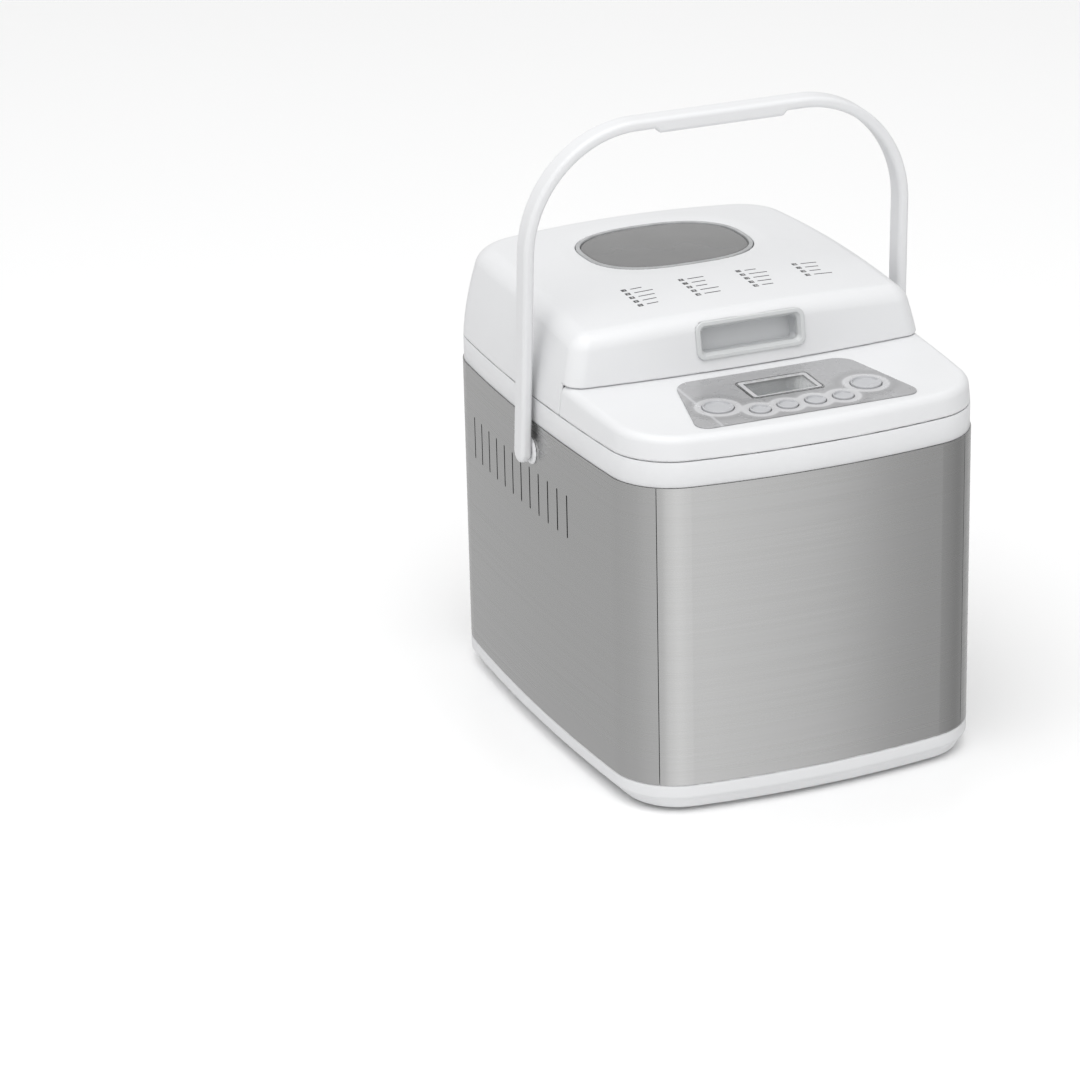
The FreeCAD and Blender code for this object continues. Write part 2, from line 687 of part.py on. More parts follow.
def handle_profile():
    """The arch seen from the front, in (x, height) above its pivot."""
    def ellipse_arc(inset, side):
        wide = HANDLE_SHOULDER_X - HANDLE_FLAT_X - inset
        tall = HANDLE_RISE - HANDLE_SHOULDER - inset
        centre = Vector(side * HANDLE_FLAT_X, 0, HANDLE_SHOULDER)
        top = centre + Vector(0, 0, tall)
        shoulder = centre + Vector(side * wide, 0, 0)
        arc = Part.ArcOfEllipse(Part.Ellipse(top, shoulder, centre), 0, math.pi / 2)
        return arc, shoulder, top

    def contour(inset):
        foot_x = HANDLE_FOOT_X - inset
        right, right_shoulder, right_top = ellipse_arc(inset, 1)
        left, left_shoulder, left_top = ellipse_arc(inset, -1)
        return [
            Part.LineSegment(Vector(foot_x, 0, 0), right_shoulder).toShape(),
            right.toShape(),
            Part.LineSegment(right_top, left_top).toShape(),
            left.toShape(),
            Part.LineSegment(left_shoulder, Vector(-foot_x, 0, 0)).toShape(),
        ]

    feet = []
    for side in (-1, 1):
        outside = Vector(side * HANDLE_FOOT_X, 0, 0)
        inside = Vector(side * (HANDLE_FOOT_X - STRAP_THICK), 0, 0)
        feet.append(Part.LineSegment(outside, inside).toShape())
    return Part.Wire(Part.__sortEdges__(contour(0) + contour(STRAP_THICK) + feet))


def carry_handle():
    """White arched strap with a thicker grip under its middle."""
    half = STRAP_WIDE / 2
    face = Part.Face(handle_profile())
    face.translate(Vector(0, -half, 0))
    arch = face.extrude(Vector(0, STRAP_WIDE, 0))
    top = HANDLE_RISE - STRAP_THICK
    grip = box(-46, 46, -half, half, top - 3.2, top + 1)
    ends = [edge for edge in grip.Edges
            if abs(edge.CenterOfMass.z - (top - 3.2)) < 0.1 and abs(edge.CenterOfMass.y) < 0.1]
    grip = grip.makeChamfer(3.0, ends)
    eyes = []
    for side in (-1, 1):
        x0, x1 = sorted((side * (HANDLE_FOOT_X - STRAP_THICK), side * HANDLE_FOOT_X))
        eyes.append(x_cylinder(half, x0, x1, 0, 0))
    handle = fuse([arch, grip] + eyes)
    bores = []
    for side in (-1, 1):
        x0, x1 = sorted((side * (HANDLE_FOOT_X - STRAP_THICK - 1), side * (HANDLE_FOOT_X - 2)))
        bores.append(x_cylinder(PIVOT_PIN_RADIUS + FIT, x0, x1, 0, 0))
    handle = handle.cut(Part.makeCompound(bores))
    handle.rotate(Vector(0, 0, 0), Vector(1, 0, 0), HANDLE_LEAN)
    handle.translate(Vector(0, PIVOT_Y, PIVOT_Z))
    return handle


def pivot_bosses():
    boss = x_cylinder(9.7, 125, HANDLE_FOOT_X - STRAP_THICK - 0.3, PIVOT_Y, PIVOT_Z)
    boss = boss.cut(slab(0, 150, 230))
    boss = boss.cut(x_cylinder(PIVOT_PIN_RADIUS, 120, 140, PIVOT_Y, PIVOT_Z))
    return both_sides(boss)


def pivot_pins():
    pin = x_cylinder(PIVOT_PIN_RADIUS, 124.6, HANDLE_FOOT_X - 2.4, PIVOT_Y, PIVOT_Z)
    head = x_cylinder(5.5, 122.6, 124.6, PIVOT_Y, PIVOT_Z)
    return both_sides(fuse([pin, head]))


def handle_brackets():
    """Steel plates inside the skin that take the handle's load."""
    plate = box(124.6, 126.6, PIVOT_Y - 18, PIVOT_Y + 18, 178, 230)
    plate = plate.cut(x_cylinder(PIVOT_PIN_RADIUS, 110, 140, PIVOT_Y, PIVOT_Z))
    return both_sides(plate)


# ---------------------------------------------------------------- chamber

def ring_of(shape, count, start=0.0):
    return [turned(shape, start + 360.0 * index / count, 0, AXIS_Y) for index in range(count)]


def chamber_liner():
    """Steel baking chamber, open at the top, with a flange under the rim's shelf."""
    x, y = CHAMBER_HALF_X, CHAMBER_HALF_Y
    outer = rounded_block(x, y, 22, 0, AXIS_Y, CHAMBER_FLOOR, CHAMBER_TOP - 0.2)
    inner = rounded_block(x - 1, y - 1, 21, 0, AXIS_Y, CHAMBER_FLOOR + 1.2, CHAMBER_TOP + 1)
    flange = rounded_block(x + 8, y + 8, 30, 0, AXIS_Y, CHAMBER_TOP - 1.2, CHAMBER_TOP - 0.2)
    liner = fuse([outer, flange]).cut(inner)
    front = AXIS_Y - CHAMBER_HALF_Y
    holes = [
        cylinder(BUSH_RADIUS + 0.5, 0, AXIS_Y, 60, 80),
        y_cylinder(ELEMENT_RADIUS + 0.8, -TERMINAL_X, front - 5, front + 5, ELEMENT_Z),
        y_cylinder(ELEMENT_RADIUS + 0.8, TERMINAL_X, front - 5, front + 5, ELEMENT_Z),
        y_cylinder(3.2, SENSOR_X, front - 5, front + 5, SENSOR_Z),
    ]
    holes += ring_of(cylinder(1.7, FLANGE_SCREW_REACH, AXIS_Y, 60, 80), 4, 45)
    return liner.cut(Part.makeCompound(holes))


def heating_element():
    """Sheathed loop round the pan, with both ends through the chamber's front wall."""
    front, rear = AXIS_Y - ELEMENT_Y, AXIS_Y + ELEMENT_Y
    terminal = AXIS_Y - CHAMBER_HALF_Y - 14
    plan = [(-TERMINAL_X, terminal), (-TERMINAL_X, front), (-ELEMENT_X, front),
            (-ELEMENT_X, rear), (ELEMENT_X, rear), (ELEMENT_X, front),
            (TERMINAL_X, front), (TERMINAL_X, terminal)]
    points = [Vector(x, y, ELEMENT_Z) for x, y in plan]
    return rod(points, [7, 20, 20, 20, 20, 7], ELEMENT_RADIUS)


def element_clips():
    """Four brackets that hold the loop off the chamber's walls."""
    clips = []
    for side in (-1, 1):
        x0, x1 = sorted((side * (ELEMENT_X - 5), side * (CHAMBER_HALF_X - 1)))
        low = box(x0, x1, AXIS_Y - 7, AXIS_Y + 7, ELEMENT_Z - 5, ELEMENT_Z - ELEMENT_RADIUS)
        clips.append(low)
    for x in (-40, 40):
        rear = AXIS_Y + ELEMENT_Y
        clips.append(box(x - 7, x + 7, rear - 5, AXIS_Y + CHAMBER_HALF_Y - 1,
                         ELEMENT_Z - 5, ELEMENT_Z - ELEMENT_RADIUS))
    return Part.makeCompound(clips)


def temperature_sensor():
    front = AXIS_Y - CHAMBER_HALF_Y
    probe = y_cylinder(3.0, SENSOR_X, front - 12, front + 8, SENSOR_Z)
    collar = y_cylinder(6.0, SENSOR_X, front - 3.5, front, SENSOR_Z)
    return fuse([probe, collar])


def thermal_fuse():
    front = AXIS_Y - CHAMBER_HALF_Y
    body = x_cylinder(2.2, -62, -48, front - 2.2, 120)
    leads = x_cylinder(0.7, -72, -38, front - 2.2, 120)
    return fuse([body, leads])


def heat_shield():
    """Plate between the hot chamber and the motor and electronics in front of it."""
    y = AXIS_Y - CHAMBER_HALF_Y - 18
    plate = box(-100, 100, y, y + 1, 42, 228)
    feet = box(-100, 100, y - 11, y + 1, 42, 43)
    legs = [box(x - 6, x + 6, y, y + 1, PLATE_TOP, 43) for x in (-94, 94)]
    return fuse([plate, feet] + legs)


def chamber_legs():
    places = [(sx * 80, AXIS_Y + sy * 74) for sx in (-1, 1) for sy in (-1, 1)]
    return Part.makeCompound([cylinder(5, x, y, PLATE_TOP, CHAMBER_FLOOR) for x, y in places])


# ---------------------------------------------------------------- drive

def bearing_housing():
    """Flanged sleeve bolted under the chamber floor."""
    sleeve = fuse([cylinder(16, 0, AXIS_Y, 46, CHAMBER_FLOOR),
                   cylinder(30, 0, AXIS_Y, 66, CHAMBER_FLOOR)])
    bore = cylinder(BUSH_RADIUS, 0, AXIS_Y, 40, 75)
    holes = ring_of(cylinder(1.6, FLANGE_SCREW_REACH, AXIS_Y, 60, 80), 4, 45)
    return sleeve.cut(Part.makeCompound([bore] + holes))


def bearing_bush():
    return tube(BUSH_RADIUS, SHAFT_RADIUS + FIT, 0, AXIS_Y, 46, CHAMBER_FLOOR + 1.2)


def drive_shaft():
    shaft = cylinder(SHAFT_RADIUS, 0, AXIS_Y, 20, COUPLING_Z)
    clip = cylinder(SHAFT_RADIUS + 2.5, 0, AXIS_Y, 44.2, 45.4)
    return fuse([shaft, clip])


def grooved_pulley(radius, bore, x, y):
    """Two flanges and a flat groove, with lightening holes in a large wheel."""
    wheel = fuse([
        cylinder(radius, x, y, PULLEY_Z, PULLEY_Z + 13),
        cylinder(radius + 4, x, y, PULLEY_Z, PULLEY_Z + 2),
        cylinder(radius + 4, x, y, PULLEY_Z + 11, PULLEY_Z + 13),
    ])
    cuts = [cylinder(bore, x, y, PULLEY_Z - 1, PULLEY_Z + 14)]
    if radius > 30:
        hole = cylinder(9, x + 28, y, PULLEY_Z - 1, PULLEY_Z + 14)
        cuts += [turned(hole, 60 * index, x, y) for index in range(6)]
    return wheel.cut(Part.makeCompound(cuts))


def large_pulley():
    return grooved_pulley(BIG_PULLEY, SHAFT_RADIUS, 0, AXIS_Y)


def motor_pulley():
    return grooved_pulley(SMALL_PULLEY, SHAFT_TOP_RADIUS, 0, MOTOR_Y)


def belt_loop(extra, z0, z1):
    """The region inside a belt that runs extra outside both grooves."""
    big, small = BIG_PULLEY + extra, SMALL_PULLEY + extra
    sine = (big - small) / (AXIS_Y - MOTOR_Y)
    cosine = math.sqrt(1 - sine * sine)
    right = Vector(cosine, -sine, 0)
    left = Vector(-cosine, -sine, 0)
    big_centre = Vector(0, AXIS_Y, z0)
    small_centre = Vector(0, MOTOR_Y, z0)
    edges = [
        Part.Arc(big_centre + right * big, big_centre + Vector(0, big, 0),
                 big_centre + left * big).toShape(),
        Part.LineSegment(big_centre + left * big, small_centre + left * small).toShape(),
        Part.Arc(small_centre + left * small, small_centre + Vector(0, -small, 0),
                 small_centre + right * small).toShape(),
        Part.LineSegment(small_centre + right * small, big_centre + right * big).toShape(),
    ]
    return Part.Face(Part.Wire(edges)).extrude(Vector(0, 0, z1 - z0))


def drive_belt():
    z0, z1 = PULLEY_Z + 3, PULLEY_Z + 10
    return belt_loop(2.8, z0, z1).cut(belt_loop(0.3, z0 - 1, z1 + 1))


def drive_coupling():
    """Disc with two upright dogs on top of the drive shaft."""
    disc = tube(19, SHAFT_RADIUS, 0, AXIS_Y, 73.0, COUPLING_Z)
    dog = box(8, 18, AXIS_Y - 3, AXIS_Y + 3, 75.0, 83.0)
    dog = dog.common(cylinder(19, 0, AXIS_Y, 70, 90))
    return fuse([disc] + ring_of(dog, 2, 90))


def motor_housing():
    """Motor can, bored for its shaft."""
    can = cylinder(35, 0, MOTOR_Y, 44, 100)
    neck = cylinder(12, 0, MOTOR_Y, 40, 104)
    return fuse([can, neck]).cut(cylinder(SHAFT_TOP_RADIUS + FIT, 0, MOTOR_Y, 30, 120))


def motor_bracket():
    """Bridge on four legs that the motor hangs on."""
    plate = box(-48, 48, MOTOR_Y - 32, MOTOR_Y + 32, 41.5, 43.9)
    legs = [box(x - 5, x + 5, MOTOR_Y + y - 5, MOTOR_Y + y + 5, PLATE_TOP, 41.5)
            for x in (-43, 43) for y in (-27, 27)]
    return fuse([plate] + legs).cut(cylinder(12.2, 0, MOTOR_Y, 30, 60))


def motor_shaft():
    return cylinder(SHAFT_TOP_RADIUS, 0, MOTOR_Y, 22, 114)


def motor_fan():
    hub = tube(8, SHAFT_TOP_RADIUS, 0, MOTOR_Y, 106, 113)
    blade = box(7, 30, MOTOR_Y - 0.6, MOTOR_Y + 0.6, 106, 113)
    disc = tube(30, SHAFT_TOP_RADIUS, 0, MOTOR_Y, 105, 106.2)
    blades = [turned(blade, 45 * index, 0, MOTOR_Y) for index in range(8)]
    return fuse([hub, disc] + blades)


def power_board():
    """Upright mains board with a relay, a transformer, two blocks and a capacitor."""
    face = -90.4
    board = box(face - 1.6, face, -140, -74, PLATE_TOP, 120)
    transformer = box(face, -72, -134, -112, 60, 82)
    relay = box(face, -80, -105, -92, 60, 78)
    filter_block = box(face, -76, -132, -118, 92, 110)
    capacitor = x_cylinder(6, face, -70, -88, 96)
    terminals = box(face, -84, -106, -80, 28, 44)
    return fuse([board, transformer, relay, filter_block, capacitor, terminals])


def cord_gland():
    """Bush low on the rear panel with an open way for a lead."""
    flange = y_cylinder(9.5, GLAND_X, GLAND_Y, GLAND_Y + 2.5, GLAND_Z)
    neck = y_cylinder(5.8, GLAND_X, GLAND_Y - 10, GLAND_Y + 1, GLAND_Z)
    way = y_cylinder(3.4, GLAND_X, GLAND_Y - 20, GLAND_Y + 5, GLAND_Z)
    return fuse([flange, neck]).cut(way)


# ---------------------------------------------------------------- pan

def pan_socket():
    """Twist-lock ring on the chamber floor: four lips over four gaps."""
    wall = tube(53, 49.5, 0, AXIS_Y, CHAMBER_FLOOR + 1.2, 88)
    seat = tube(50, 46, 0, AXIS_Y, CHAMBER_FLOOR + 1.2, 80.6)
    lip = cylinder(50.5, 0, AXIS_Y, 85.5, 88).cut(cylinder(45.5, 0, AXIS_Y, 80, 90))
    wedge = Part.makeCylinder(60, 20, Vector(0, AXIS_Y, 76), Vector(0, 0, 1), LUG_ANGLE)
    lips = ring_of(lip.common(wedge), 4, -LUG_ANGLE / 2)
    return fuse([wall, seat] + lips)


def pan_base_ring():
    """Skirt under the pan whose four lugs lock below the socket's lips."""
    skirt = tube(44.8, 41.5, 0, AXIS_Y, 79.0, PAN_BOTTOM)
    lug = cylinder(48.9, 0, AXIS_Y, 81.0, 85.0).cut(cylinder(44.0, 0, AXIS_Y, 70, 95))
    wedge = Part.makeCylinder(60, 20, Vector(0, AXIS_Y, 76), Vector(0, 0, 1), LUG_ANGLE)
    lugs = ring_of(lug.common(wedge), 4, -LUG_ANGLE / 2)
    return fuse([skirt] + lugs)


def pan_body():
    """Coated pan with a rolled rim and an ear on each side for the bail."""
    outer = rounded_taper((PAN_BOTTOM, 67, 63, 23), (PAN_TOP, 72, 68, 25), 0, AXIS_Y)
    inner = rounded_taper((PAN_BOTTOM + 1.6, 65.4, 61.4, 21.4),
                          (PAN_TOP + 1, 70.4, 66.4, 23.4), 0, AXIS_Y)
    rim = rounded_block(75, 71, 28, 0, AXIS_Y, PAN_TOP - 3, PAN_TOP)
    rim = rim.makeFillet(1.4, [e for e in rim.Edges if abs(e.CenterOfMass.z - PAN_TOP) < 0.01])
    pan = fuse([outer, rim]).cut(inner)
    for side in (-1, 1):
        x0, x1 = sorted((side * 74.0, side * 76.4))
        ear = box(x0, x1, AXIS_Y - 8, AXIS_Y + 8, PAN_TOP - 3, BAIL_PIVOT_Z)
        ear = fuse([ear, x_cylinder(6, x0, x1, AXIS_Y, BAIL_PIVOT_Z - 1.5)])
        pan = pan.fuse(ear)
    pan = pan.removeSplitter()
    bores = [x_cylinder(2.2 + FIT, -90, 90, AXIS_Y, BAIL_PIVOT_Z)]
    bores.append(cylinder(BUSH_RADIUS, 0, AXIS_Y, 80, 100))
    return pan.cut(Part.makeCompound(bores))


def pan_bush():
    """Sealed bearing pressed into the pan's floor."""
    bore = SHAFT_TOP_RADIUS + FIT
    return fuse([tube(BUSH_RADIUS, bore, 0, AXIS_Y, 84, 97.5),
                 tube(15, bore, 0, AXIS_Y, 89, PAN_BOTTOM)])


def pan_shaft():
    return cylinder(SHAFT_TOP_RADIUS, 0, AXIS_Y, COUPLING_Z + 1.5, 116)


def wing_coupling():
    """Two-armed driver under the pan that the drive's dogs push round."""
    hub = cylinder(6.5, 0, AXIS_Y, COUPLING_Z + 1.0, 83.4)
    arms = box(-17, 17, AXIS_Y - 2.5, AXIS_Y + 2.5, COUPLING_Z + 1.0, 82.0)
    arms = arms.common(cylinder(17.5, 0, AXIS_Y, 70, 90))
    return fuse([hub, arms]).cut(cylinder(SHAFT_TOP_RADIUS, 0, AXIS_Y, 70, 90))


def kneading_paddle():
    """Removable paddle: a hub with one upright blade and a low heel opposite."""
    hub = Part.makeCone(9.5, 7.5, 24, Vector(0, AXIS_Y, 98))
    blade = yz_polygon([(0, 98.5), (42, 98.5), (44, 104), (38, 118), (20, 121), (0, 121)])
    blade = yz_prism(blade, 2.2)
    heel = box(-2.5, 2.5, -22, 0, 98.5, 106)
    parts = [blade, heel]
    for part in parts:
        part.translate(Vector(0, AXIS_Y, 0))
    return fuse([hub] + parts).cut(cylinder(SHAFT_TOP_RADIUS, 0, AXIS_Y, 90, 117))


def pan_bail():
    """Wire bail that lies forwards on the pan and lifts it out."""
    front = AXIS_Y - BAIL_REACH
    z = BAIL_PIVOT_Z
    points = [Vector(-71.5, AXIS_Y, z), Vector(-BAIL_X, AXIS_Y, z), Vector(-BAIL_X, front, z),
              Vector(BAIL_X, front, z), Vector(BAIL_X, AXIS_Y, z), Vector(71.5, AXIS_Y, z)]
    return rod(points, [3.6, 22, 22, 3.6], 2.2)


def shapes():
    parts = {
        "base_tray": base_tray, "rubber_feet": rubber_feet, "chassis_screws": chassis_screws,
        "chassis_plate": chassis_plate, "front_panel": front_panel, "rear_panel": rear_panel,
        "left_side_panel": lambda: side_panel(-1), "right_side_panel": lambda: side_panel(1),
        "upper_rim": upper_rim, "deck_housing": deck_housing,
        "lid_outer_shell": lid_outer_shell, "lid_inner_shell": lid_inner_shell,
        "lid_window": lid_window, "window_seal": window_seal,
        "lid_grip_frame": lid_grip_frame, "lid_grip_cup": lid_grip_cup,
        "lid_screws": lid_screws, "hinge_pins": hinge_pins,
        "control_overlay": control_overlay, "display_window": display_window,
        "display_module": display_module, "control_board": control_board,
        "carry_handle": carry_handle,
        "pivot_bosses": pivot_bosses, "pivot_pins": pivot_pins,
        "handle_brackets": handle_brackets, "chamber_liner": chamber_liner,
        "heating_element": heating_element, "element_clips": element_clips,
        "temperature_sensor": temperature_sensor, "thermal_fuse": thermal_fuse,
        "heat_shield": heat_shield, "chamber_legs": chamber_legs,
        "bearing_housing": bearing_housing, "bearing_bush": bearing_bush,
        "drive_shaft": drive_shaft,
        "large_pulley": large_pulley, "drive_belt": drive_belt,
        "drive_coupling": drive_coupling, "motor_housing": motor_housing,
        "motor_bracket": motor_bracket, "motor_shaft": motor_shaft, "motor_fan": motor_fan,
        "motor_pulley": motor_pulley,
        "power_board": power_board, "cord_gland": cord_gland, "pan_socket": pan_socket,
        "pan_base_ring": pan_base_ring, "pan_body": pan_body, "pan_bush": pan_bush,
        "pan_shaft": pan_shaft, "wing_coupling": wing_coupling,
        "kneading_paddle": kneading_paddle, "pan_bail": pan_bail,
    }
    for name, place in BUTTONS.items():
        parts[name] = lambda place=place: button(*place)
    return parts


def main():
    os.makedirs("parts", exist_ok=True)
    for name, make in shapes().items():
        shape = make()
        size = shape.BoundBox
        print("%-20s solids %d valid %s volume %.0f  x %.1f %.1f  y %.1f %.1f  z %.1f %.1f" % (
            name, len(shape.Solids), shape.isValid(), shape.Volume,
            size.XMin, size.XMax, size.YMin, size.YMax, size.ZMin, size.ZMax))
        shape.exportStep("parts/" + name + ".step")


main()
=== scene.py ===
import functools
import json
import math

import bpy
import numpy as np
from mathutils import Matrix, Vector

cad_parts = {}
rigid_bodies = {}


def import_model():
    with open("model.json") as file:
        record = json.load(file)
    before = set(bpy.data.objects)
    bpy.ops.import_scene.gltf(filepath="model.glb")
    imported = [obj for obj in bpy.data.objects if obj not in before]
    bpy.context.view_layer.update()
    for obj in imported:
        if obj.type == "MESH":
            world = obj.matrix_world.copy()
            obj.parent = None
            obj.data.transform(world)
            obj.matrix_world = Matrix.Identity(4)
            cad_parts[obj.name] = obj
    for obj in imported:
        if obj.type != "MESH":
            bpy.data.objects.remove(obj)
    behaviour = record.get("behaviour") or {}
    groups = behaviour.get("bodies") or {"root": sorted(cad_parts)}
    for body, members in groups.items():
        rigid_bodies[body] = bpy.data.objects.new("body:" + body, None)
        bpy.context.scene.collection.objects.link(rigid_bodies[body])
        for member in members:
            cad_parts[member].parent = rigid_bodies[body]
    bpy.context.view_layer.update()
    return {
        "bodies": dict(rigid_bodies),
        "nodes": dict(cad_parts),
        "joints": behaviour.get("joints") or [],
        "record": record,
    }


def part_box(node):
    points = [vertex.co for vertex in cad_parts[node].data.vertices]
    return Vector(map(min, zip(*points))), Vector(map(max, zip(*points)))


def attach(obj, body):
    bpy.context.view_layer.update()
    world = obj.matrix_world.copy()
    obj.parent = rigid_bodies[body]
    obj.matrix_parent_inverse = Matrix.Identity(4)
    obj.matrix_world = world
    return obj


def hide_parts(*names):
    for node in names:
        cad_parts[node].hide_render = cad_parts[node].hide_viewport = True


# A compact bread machine: its looks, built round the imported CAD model.
# Blender works in metres. Forms are worked out in millimetres, in the same frame, and scaled by MM.

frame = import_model()
nodes = frame["nodes"]
slot_of = {part["node"]: part["material_slot"] for part in frame["record"]["subparts"]}
MM = 0.001


def box_mm(node):
    """A CAD node's lowest and highest corners in millimetres."""
    low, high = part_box(node)
    return np.array(low) / MM, np.array(high) / MM


# The deck's slope, and its controls at (across, along the slope, radius) from its rear edge.
DECK_BACK_Y, DECK_BACK_Z = -60.25, 259.8
DECK_TILT = math.radians(2.58)
BUTTONS = {
    "button_start": (51.9, -63.9, 10.0),
    "button_menu": (-51.9, -63.9, 10.0),
    "button_crust": (-29.0, -77.4, 6.7),
    "button_time_down": (-9.7, -77.0, 6.7),
    "button_time_up": (9.7, -77.0, 6.7),
    "button_loaf_size": (29.0, -77.4, 6.7),
}
DISPLAY_Y = -45.5
DISPLAY_HALF_X, DISPLAY_HALF_Y = 25.5, 14.6
# Reach and merging of the painted highlight band that winds round the buttons on the control film.
HIGHLIGHT_REACH = 14.0
HIGHLIGHT_MERGE = 4.0
# Place and strength of a painted highlight line near the control film's left edge.
HIGHLIGHT_LINE_X = 62.0
HIGHLIGHT_LINE_STRENGTH = 0.55

# ---------------------------------------------------------------- camera, floor and light

CAMERA_PLACE = Vector((-1.0609, -2.2808, 1.1137))
CAMERA_YAW = math.radians(22.339)
CAMERA_PITCH = math.radians(21.612)
CAMERA_ROLL = math.radians(-1.409)
CAMERA_LENS = 134.41
SENSOR = 36.0

FLOOR_HALF = 14.0

# Brightness of the surroundings by direction: (degrees round from the front towards +X, level).
SURROUND = [
    (-180, 0.62), (-157, 0.64), (-138, 0.66), (-100, 0.70), (-60, 0.79), (-48, 0.84),
    (-30, 1.14), (-16, 1.24), (6, 1.14), (14, 1.03), (26, 0.93), (32, 0.79),
    (38, 0.62), (55, 0.47), (84, 0.38), (130, 0.58), (180, 0.62),
]
ZENITH_LIFT = 0.75
ZENITH_FROM = 0.45
HIGHEST_LEVEL = 1.3


def make_camera():
    data = bpy.data.cameras.new("camera")
    data.sensor_width = SENSOR
    data.lens = CAMERA_LENS
    data.clip_start = 0.05
    data.clip_end = 100.0
    camera = bpy.data.objects.new("camera", data)
    bpy.context.scene.collection.objects.link(camera)
    level = math.cos(CAMERA_PITCH)
    ahead = Vector((math.sin(CAMERA_YAW) * level, math.cos(CAMERA_YAW) * level, -math.sin(CAMERA_PITCH)))
    right = ahead.cross(Vector((0, 0, 1))).normalized()
    up = right.cross(ahead)
    c, s = math.cos(CAMERA_ROLL), math.sin(CAMERA_ROLL)
    turned_right = c * right + s * up
    turned_up = c * up - s * right
    columns = Matrix((turned_right, turned_up, -ahead)).transposed()
    camera.matrix_world = Matrix.Translation(CAMERA_PLACE) @ columns.to_4x4()
    bpy.context.scene.camera = camera


def area_light(name, place, target, width, height, watts):
    data = bpy.data.lights.new(name, "AREA")
    data.shape = "RECTANGLE"
    data.size = width
    data.size_y = height
    data.energy = watts
    light = bpy.data.objects.new(name, data)
    bpy.context.scene.collection.objects.link(light)
    light.location = place
    light.rotation_mode = "QUATERNION"
    light.rotation_quaternion = (Vector(target) - Vector(place)).to_track_quat("-Z", "Y")


def make_surroundings():
    """A pale studio whose brightness changes with the compass direction, and grows overhead."""
    world = bpy.data.worlds.new("studio")
    bpy.context.scene.world = world
    world.use_nodes = True
    tree = world.node_tree
    tree.nodes.clear()
    coords = tree.nodes.new("ShaderNodeTexCoord")
    split = tree.nodes.new("ShaderNodeSeparateXYZ")
    tree.links.new(coords.outputs["Generated"], split.inputs[0])
    forwards = tree.nodes.new("ShaderNodeMath")
    forwards.operation = "MULTIPLY"
    forwards.inputs[1].default_value = -1.0
    tree.links.new(split.outputs["Y"], forwards.inputs[0])
    angle = tree.nodes.new("ShaderNodeMath")
    angle.operation = "ARCTAN2"
    tree.links.new(split.outputs["X"], angle.inputs[0])
    tree.links.new(forwards.outputs[0], angle.inputs[1])
    share = tree.nodes.new("ShaderNodeMapRange")
    socket(share, From_Min=-math.pi, From_Max=math.pi)
    tree.links.new(angle.outputs[0], share.inputs["Value"])
    ramp = tree.nodes.new("ShaderNodeValToRGB")
    ramp.color_ramp.interpolation = "EASE"
    stops = ramp.color_ramp.elements
    while len(stops) < len(SURROUND):
        stops.new(0.5)
    for stop, (degrees, level) in zip(stops, SURROUND):
        stop.position = (degrees + 180) / 360
        stop.color = (level / HIGHEST_LEVEL,) * 3 + (1.0,)
    tree.links.new(share.outputs["Result"], ramp.inputs["Fac"])
    height = tree.nodes.new("ShaderNodeMapRange")
    height.interpolation_type = "SMOOTHSTEP"
    socket(height, From_Min=ZENITH_FROM, From_Max=1.0)
    socket(height, To_Min=HIGHEST_LEVEL, To_Max=HIGHEST_LEVEL * (1 + ZENITH_LIFT))
    tree.links.new(split.outputs["Z"], height.inputs["Value"])
    background = tree.nodes.new("ShaderNodeBackground")
    tree.links.new(height.outputs["Result"], background.inputs["Strength"])
    tree.links.new(ramp.outputs["Color"], background.inputs["Color"])
    output = tree.nodes.new("ShaderNodeOutputWorld")
    tree.links.new(background.outputs[0], output.inputs["Surface"])


# ---------------------------------------------------------------- materials

def socket(node, **values):
    """Set a node's own sockets; an underscore in a name stands for a space."""
    for name, value in values.items():
        node.inputs[name.replace("_", " ")].default_value = value


def start_material(name, **values):
    material = bpy.data.materials.new(name)
    material.use_nodes = True
    tree = material.node_tree
    shader = tree.nodes["Principled BSDF"]
    socket(shader, **values)
    coords = tree.nodes.new("ShaderNodeTexCoord").outputs["Object"]
    return material, tree, shader, coords


def stretched(tree, coords, scale):
    """Object coordinates multiplied along each axis, in cells per metre."""
    mapping = tree.nodes.new("ShaderNodeMapping")
    mapping.inputs["Scale"].default_value = scale
    tree.links.new(coords, mapping.inputs["Vector"])
    return mapping.outputs["Vector"]


def noise(tree, coords, scale, detail=4.0, roughness=0.55):
    """Noise from 0 to 1. scale is one number, or one for each axis, in cells per metre."""
    texture = tree.nodes.new("ShaderNodeTexNoise")
    if isinstance(scale, tuple):
        coords = stretched(tree, coords, scale)
        scale = 1.0
    tree.links.new(coords, texture.inputs["Vector"])
    socket(texture, Scale=scale, Detail=detail, Roughness=roughness)
    return texture.outputs["Fac"]


def ranged(tree, value, low, high, source=(0.3, 0.7)):
    """The middle of a 0 to 1 value, spread from low to high."""
    spread = tree.nodes.new("ShaderNodeMapRange")
    socket(spread, From_Min=source[0], From_Max=source[1], To_Min=low, To_Max=high)
    tree.links.new(value, spread.inputs["Value"])
    return spread.outputs["Result"]


def between(tree, value, first, second):
    """A colour that goes from first to second as value goes from 0 to 1."""
    mix = tree.nodes.new("ShaderNodeMix")
    mix.data_type = "RGBA"
    mix.inputs["A"].default_value = (*first, 1.0)
    mix.inputs["B"].default_value = (*second, 1.0)
    tree.links.new(value, mix.inputs["Factor"])
    return mix.outputs["Result"]


def coloured(tree, shader, value, first, second):
    """The shader's colour, which goes from first to second as value goes from 0 to 1."""
    tree.links.new(between(tree, value, first, second), shader.inputs["Base Color"])


def roughened(tree, shader, value, low, high, source=(0.3, 0.7)):
    """The shader's roughness, which follows the middle of a 0 to 1 value from low to high."""
    tree.links.new(ranged(tree, value, low, high, source), shader.inputs["Roughness"])


